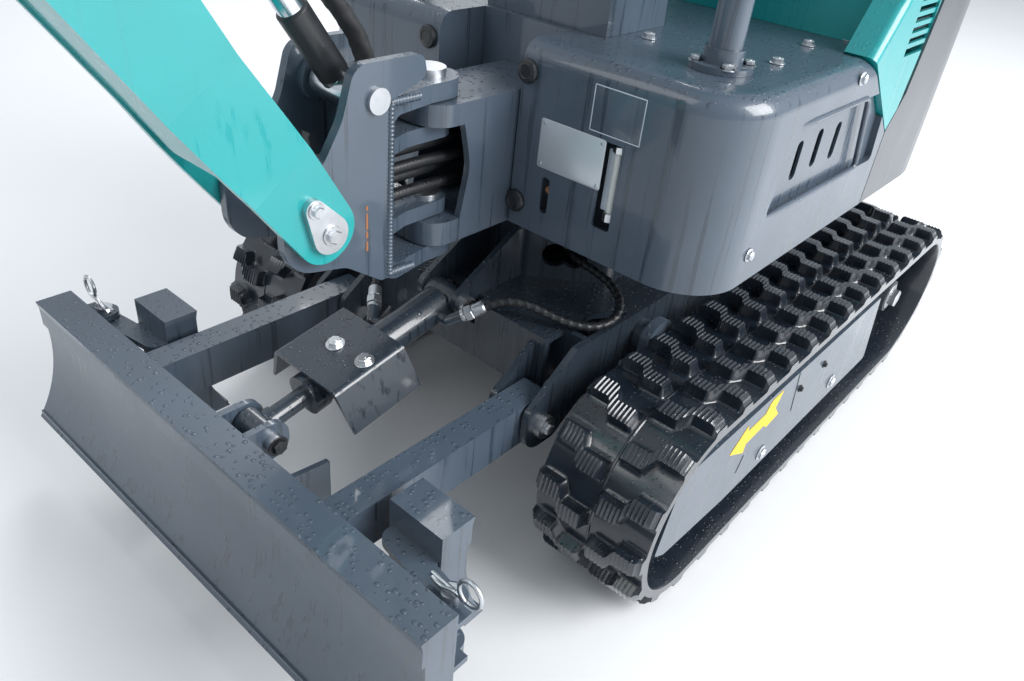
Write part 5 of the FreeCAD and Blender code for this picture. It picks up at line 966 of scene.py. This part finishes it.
# %% Guard and keeper bolts
BLADE_CYLINDER_FOOT, BLADE_CYLINDER_SLOPE, GUARD_TOP = (485.0, 320.0), 11.63, 38.2
KEEPER_ANGLE, KEEPER_LONG, KEEPER_SIDE = 60, 40, 82.2
slope = math.radians(BLADE_CYLINDER_SLOPE)
guard = []
for x, along in ((-9, 200), (48, 197)):
    place = at(x, *line(BLADE_CYLINDER_FOOT, -BLADE_CYLINDER_SLOPE, along, GUARD_TOP))
    guard += bolt(place, np.array([0, -math.sin(slope), math.cos(slope)]), 8.5, 7.0)
piece("guard bolts", guard, zinc, "blade_cylinder")
keeper_end = line(BOOM_FOOT, KEEPER_ANGLE, KEEPER_LONG, 0)
keeper = []
for side, _, out in SIDES:
    x = side * KEEPER_SIDE
    keeper += bolt(at(x, *BOOM_FOOT), out, 7.5, 7.0) + bolt(at(x, *keeper_end), out, 6.0, 6.0)
piece("keeper bolts", keeper, zinc, "boom_body")

# %% [markdown]
# ## Wing pin clips
#
# The pins of the blade's wings are kept by clips bent from spring wire: a straight leg, nearly
# a full turn, and a leg that runs back with a slight wave. The wire's centre line is a sum of
# these three, each of which grows over its own stretch of t from 0 to 1.

# %% Wing pin clips
CLIP_PLACE, CLIP_WIRE = (367, 839, 273), 2.7
BEND_FROM, BEND_TO, BEND_RADIUS = 0.45, 0.75, 7
t = np.linspace(0, 1, 60)
turn = np.clip((t - BEND_FROM) / (BEND_TO - BEND_FROM), 0, 1) * 1.9 * np.pi
leg = np.clip(t / BEND_FROM, 0, 1) * 26
back = np.clip((t - BEND_TO) / (1 - BEND_TO), 0, 1)
clip_x = -13 + leg + BEND_RADIUS * np.sin(turn) - back * 22
clip_up = BEND_RADIUS * (1 - np.cos(turn)) + 1.5 * np.sin(back * 2 * np.pi)
clips = []
for side in (1, -1):
    path = np.array([at(side * (CLIP_PLACE[0] + 2.2 * x), CLIP_PLACE[1] + 5 * share, CLIP_PLACE[2] + 2.4 * up)
                     for x, up, share in zip(clip_x, clip_up, t)])
    clips.append(swept(path, CLIP_WIRE / 1000, 8))
piece("wing pin clips", clips, zinc, "dozer", 60)

# %% [markdown]
# ## Hub nuts, pin bolts and seams
#
# A large nut closes each rear wheel's hub, and smaller bolts keep the dozer's pins. The track
# side plates are welded from parts, whose seams show as thin dark lines.

# %% Hub nuts, pin bolts and seams
hubs, arm_bolts = [], []
for side, _, out in SIDES:
    hubs += bolt(at(side * 417.2, -WHEEL_FORWARD, WHEEL_UP), out, 17.0, 14.0)
    arm_bolts += bolt(at(side * 241.2, 519, 228), out, 7.5, 6.0)
piece("rear hub nuts", hubs, zinc, "undercarriage")
piece("dozer arm bolts", arm_bolts, zinc, "undercarriage")
eye_bolts = [form for side, _, out in SIDES for form in bolt(at(side * 45.2, 825, 250), out, 9.0, 6.0)]
piece("blade eye bolts", eye_bolts, black_plastic, "dozer")
foot_bolt = bolt(at(48.2, *BLADE_CYLINDER_FOOT), LEFT, 9.0, 6.0)
piece("cylinder foot bolt", foot_bolt, black_plastic, "undercarriage")
SEAMS = [[(152, 261), (153.5, 261), (132.5, 174), (131, 174)],
         [(296, 178), (297.5, 178), (308.5, 150), (307, 150)]]
seams = [on_side(seam, side * (TRACK_SIDE - 0.15), side) for side in (1, -1) for seam in SEAMS]
piece("side plate seams", seams, dark_inside, "undercarriage")

# %% [markdown]
# ## Cover ridges and side grilles
#
# The deep-drawn side covers have a stepped field. A rounded ridge follows its top, rear and
# bottom and fades out towards the front, and it is a tube sunk halfway into the sheet. The
# side panels breathe through louvres, which are tilted slats.

# %% Ridge route
FIELD, FIELD_CORNER = [(262, 655), (34, 652), (-8, 536), (298, 541)], 30.0
RIDGE_SIDE, RIDGE, FADE = 377.4, 4.2, 40


def ridge_path(x, corners):
    """Open route along corners (forward, up), the inner ones rounded by two more route points."""
    corners = np.array(corners, float)
    route = [corners[0]]
    for before, c, after in zip(corners, corners[1:], corners[2:]):
        route += [c + (before - c) / np.linalg.norm(before - c) * FIELD_CORNER, c,
                  c + (after - c) / np.linalg.norm(after - c) * FIELD_CORNER]
    route.append(corners[-1])
    return [(x, f, z) for f, z in route]


print("ridge corners", len(FIELD))

# %% Ridges and grilles
LOUVRES, LOUVRE_STEP, LOUVRE_PLACE, LOUVRE_TILT = 7, 13, (368, -106, 701), math.radians(40)


def louvre(side, number):
    """One slat, its length along the machine and its width tilted out and down."""
    points, faces = slab(rounded(86, 12, 1.5), 1.4)
    sine, cosine = math.sin(LOUVRE_TILT), math.cos(LOUVRE_TILT)
    turn = np.array([[0, side, 0], [side * sine, 0, cosine], [side * cosine, 0, -sine]])
    x, forward, up = LOUVRE_PLACE
    return at(side * x, forward, up + number * LOUVRE_STEP) + points @ turn, faces


for side, hand, _ in SIDES:
    path, s = along_spline(ridge_path(side * RIDGE_SIDE, FIELD), 4.0)
    fade = np.sqrt(np.clip(np.minimum(s, s[-1] - s) / FADE, 0.02, 1))
    piece("cover ridge " + hand, [swept(path, RIDGE / 1000 * fade, 12)], grey_paint, "house", 60)
    slats = [louvre(side, number) for number in range(LOUVRES)]
    piece("grille louvres " + hand, slats, black_plastic, "house")

# %% [markdown]
# ## Seat cushion and back
#
# A machine seat is foam in a sewn vinyl cover. It is fullest in the middle and pulled in at
# its seams, and piping is sewn into the seam around it. Each pad is a superellipsoid, which is
# a box with soft crowns, with sewn channels pressed into it and a flat underside.

# %% Seat surfaces
RINGS, AROUND = 90, 160
EDGE_POWER, CORNER_POWER, TOP_POWER = 0.34, 0.3, 0.55
CROWN_WIDTH, CROWN_LENGTH, CROWN_POWER = 0.16, 0.10, 2.6
CHANNEL_WIDE, CHANNEL_DEEP, FLAT_UNDER = 4.5, 5.0, 0.93
CORD, CORD_SHARE = 2.6, 0.985


def power(value, exponent):
    """A power that keeps the sign, as a superellipse needs it."""
    return np.sign(value) * np.abs(value) ** exponent


def pad(half, channels):
    """Superellipsoid x = A cos(u)^e cos(v)^c, y = B cos(u)^e sin(v)^c, z = H sin(u)^t * crown.

    The crown is 1 - w (x / A)^p - l (y / B)^p. Each channel takes a bell curve off the upper side,
    and the underside is cut flat.
    """
    u = np.linspace(-np.pi / 2 + 1e-3, np.pi / 2 - 1e-3, RINGS)[:, None]
    v = np.linspace(0, 2 * np.pi, AROUND, endpoint=False)[None]
    u = u + 0 * v
    x = half[0] * power(np.cos(u), EDGE_POWER) * power(np.cos(v), CORNER_POWER)
    y = half[1] * power(np.cos(u), EDGE_POWER) * power(np.sin(v), CORNER_POWER)
    crown = (1 - CROWN_WIDTH * (np.abs(x) / half[0]) ** CROWN_POWER
             - CROWN_LENGTH * (np.abs(y) / half[1]) ** CROWN_POWER)
    z = half[2] * power(np.sin(u), TOP_POWER) * crown
    for axis, places in channels:
        for place in places:
            cut = np.exp(-(((x, y)[axis] - place) / CHANNEL_WIDE) ** 2)
            z = z - CHANNEL_DEEP * cut * np.clip(z / half[2], 0, 1)
    z = np.maximum(z, -half[2] * FLAT_UNDER)
    return np.stack([x, y, z], -1).reshape(-1, 3) / 1000, ring_faces(RINGS, AROUND)


def piping(half, height):
    """Round cord along the pad's outline at one height."""
    v = np.linspace(0, 2 * np.pi, 241)
    path = np.stack([half[0] * CORD_SHARE * power(np.cos(v), CORNER_POWER),
                     half[1] * CORD_SHARE * power(np.sin(v), CORNER_POWER),
                     np.full(len(v), height)], -1) / 1000
    step = np.r_[True, np.linalg.norm(np.diff(path, axis=0), axis=1) > 1e-4]
    return swept(path[step], CORD / 1000, 8)


def oriented(form, place, along, up):
    """A form with its y along one direction and its z along another."""
    points, faces = form
    return place + points @ np.stack([np.cross(along, up), along, up]), faces


print("seat surfaces ready")

# %% Seat
CUSHION_HALF, BACK_HALF = (201.0, 120.0, 46.0), (191.0, 176.0, 26.0)
CUSHION_CHANNELS = [(1, (-55, 5, 65)), (0, (-128, 128))]
BACK_CHANNELS = [(1, (-95, -30, 35, 100)), (0, (-122, 122))]
cushion_place, back_place = at(0, -176, 1049.0), at(0, -306, 1274.3)
BACK_UP, BACK_OUT = np.array([0, 0.1886, 0.982]), np.array([0, -0.982, 0.1886])
cushion = oriented(pad(CUSHION_HALF, CUSHION_CHANNELS), cushion_place, FRONT, UP)
made = piece("seat cushion pad", [cushion], seat_vinyl, "house", 60)
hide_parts("seat_cushion")
back = oriented(pad(BACK_HALF, BACK_CHANNELS), back_place, BACK_UP, BACK_OUT)
made = piece("seat back pad", [back], seat_vinyl, "house", 60)
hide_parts("seat_back")
cords = [oriented(piping(CUSHION_HALF, 8.0), cushion_place, FRONT, UP),
         oriented(piping(BACK_HALF, 4.0), back_place, BACK_UP, BACK_OUT)]
piece("seat piping", cords, black_plastic, "house", 60)
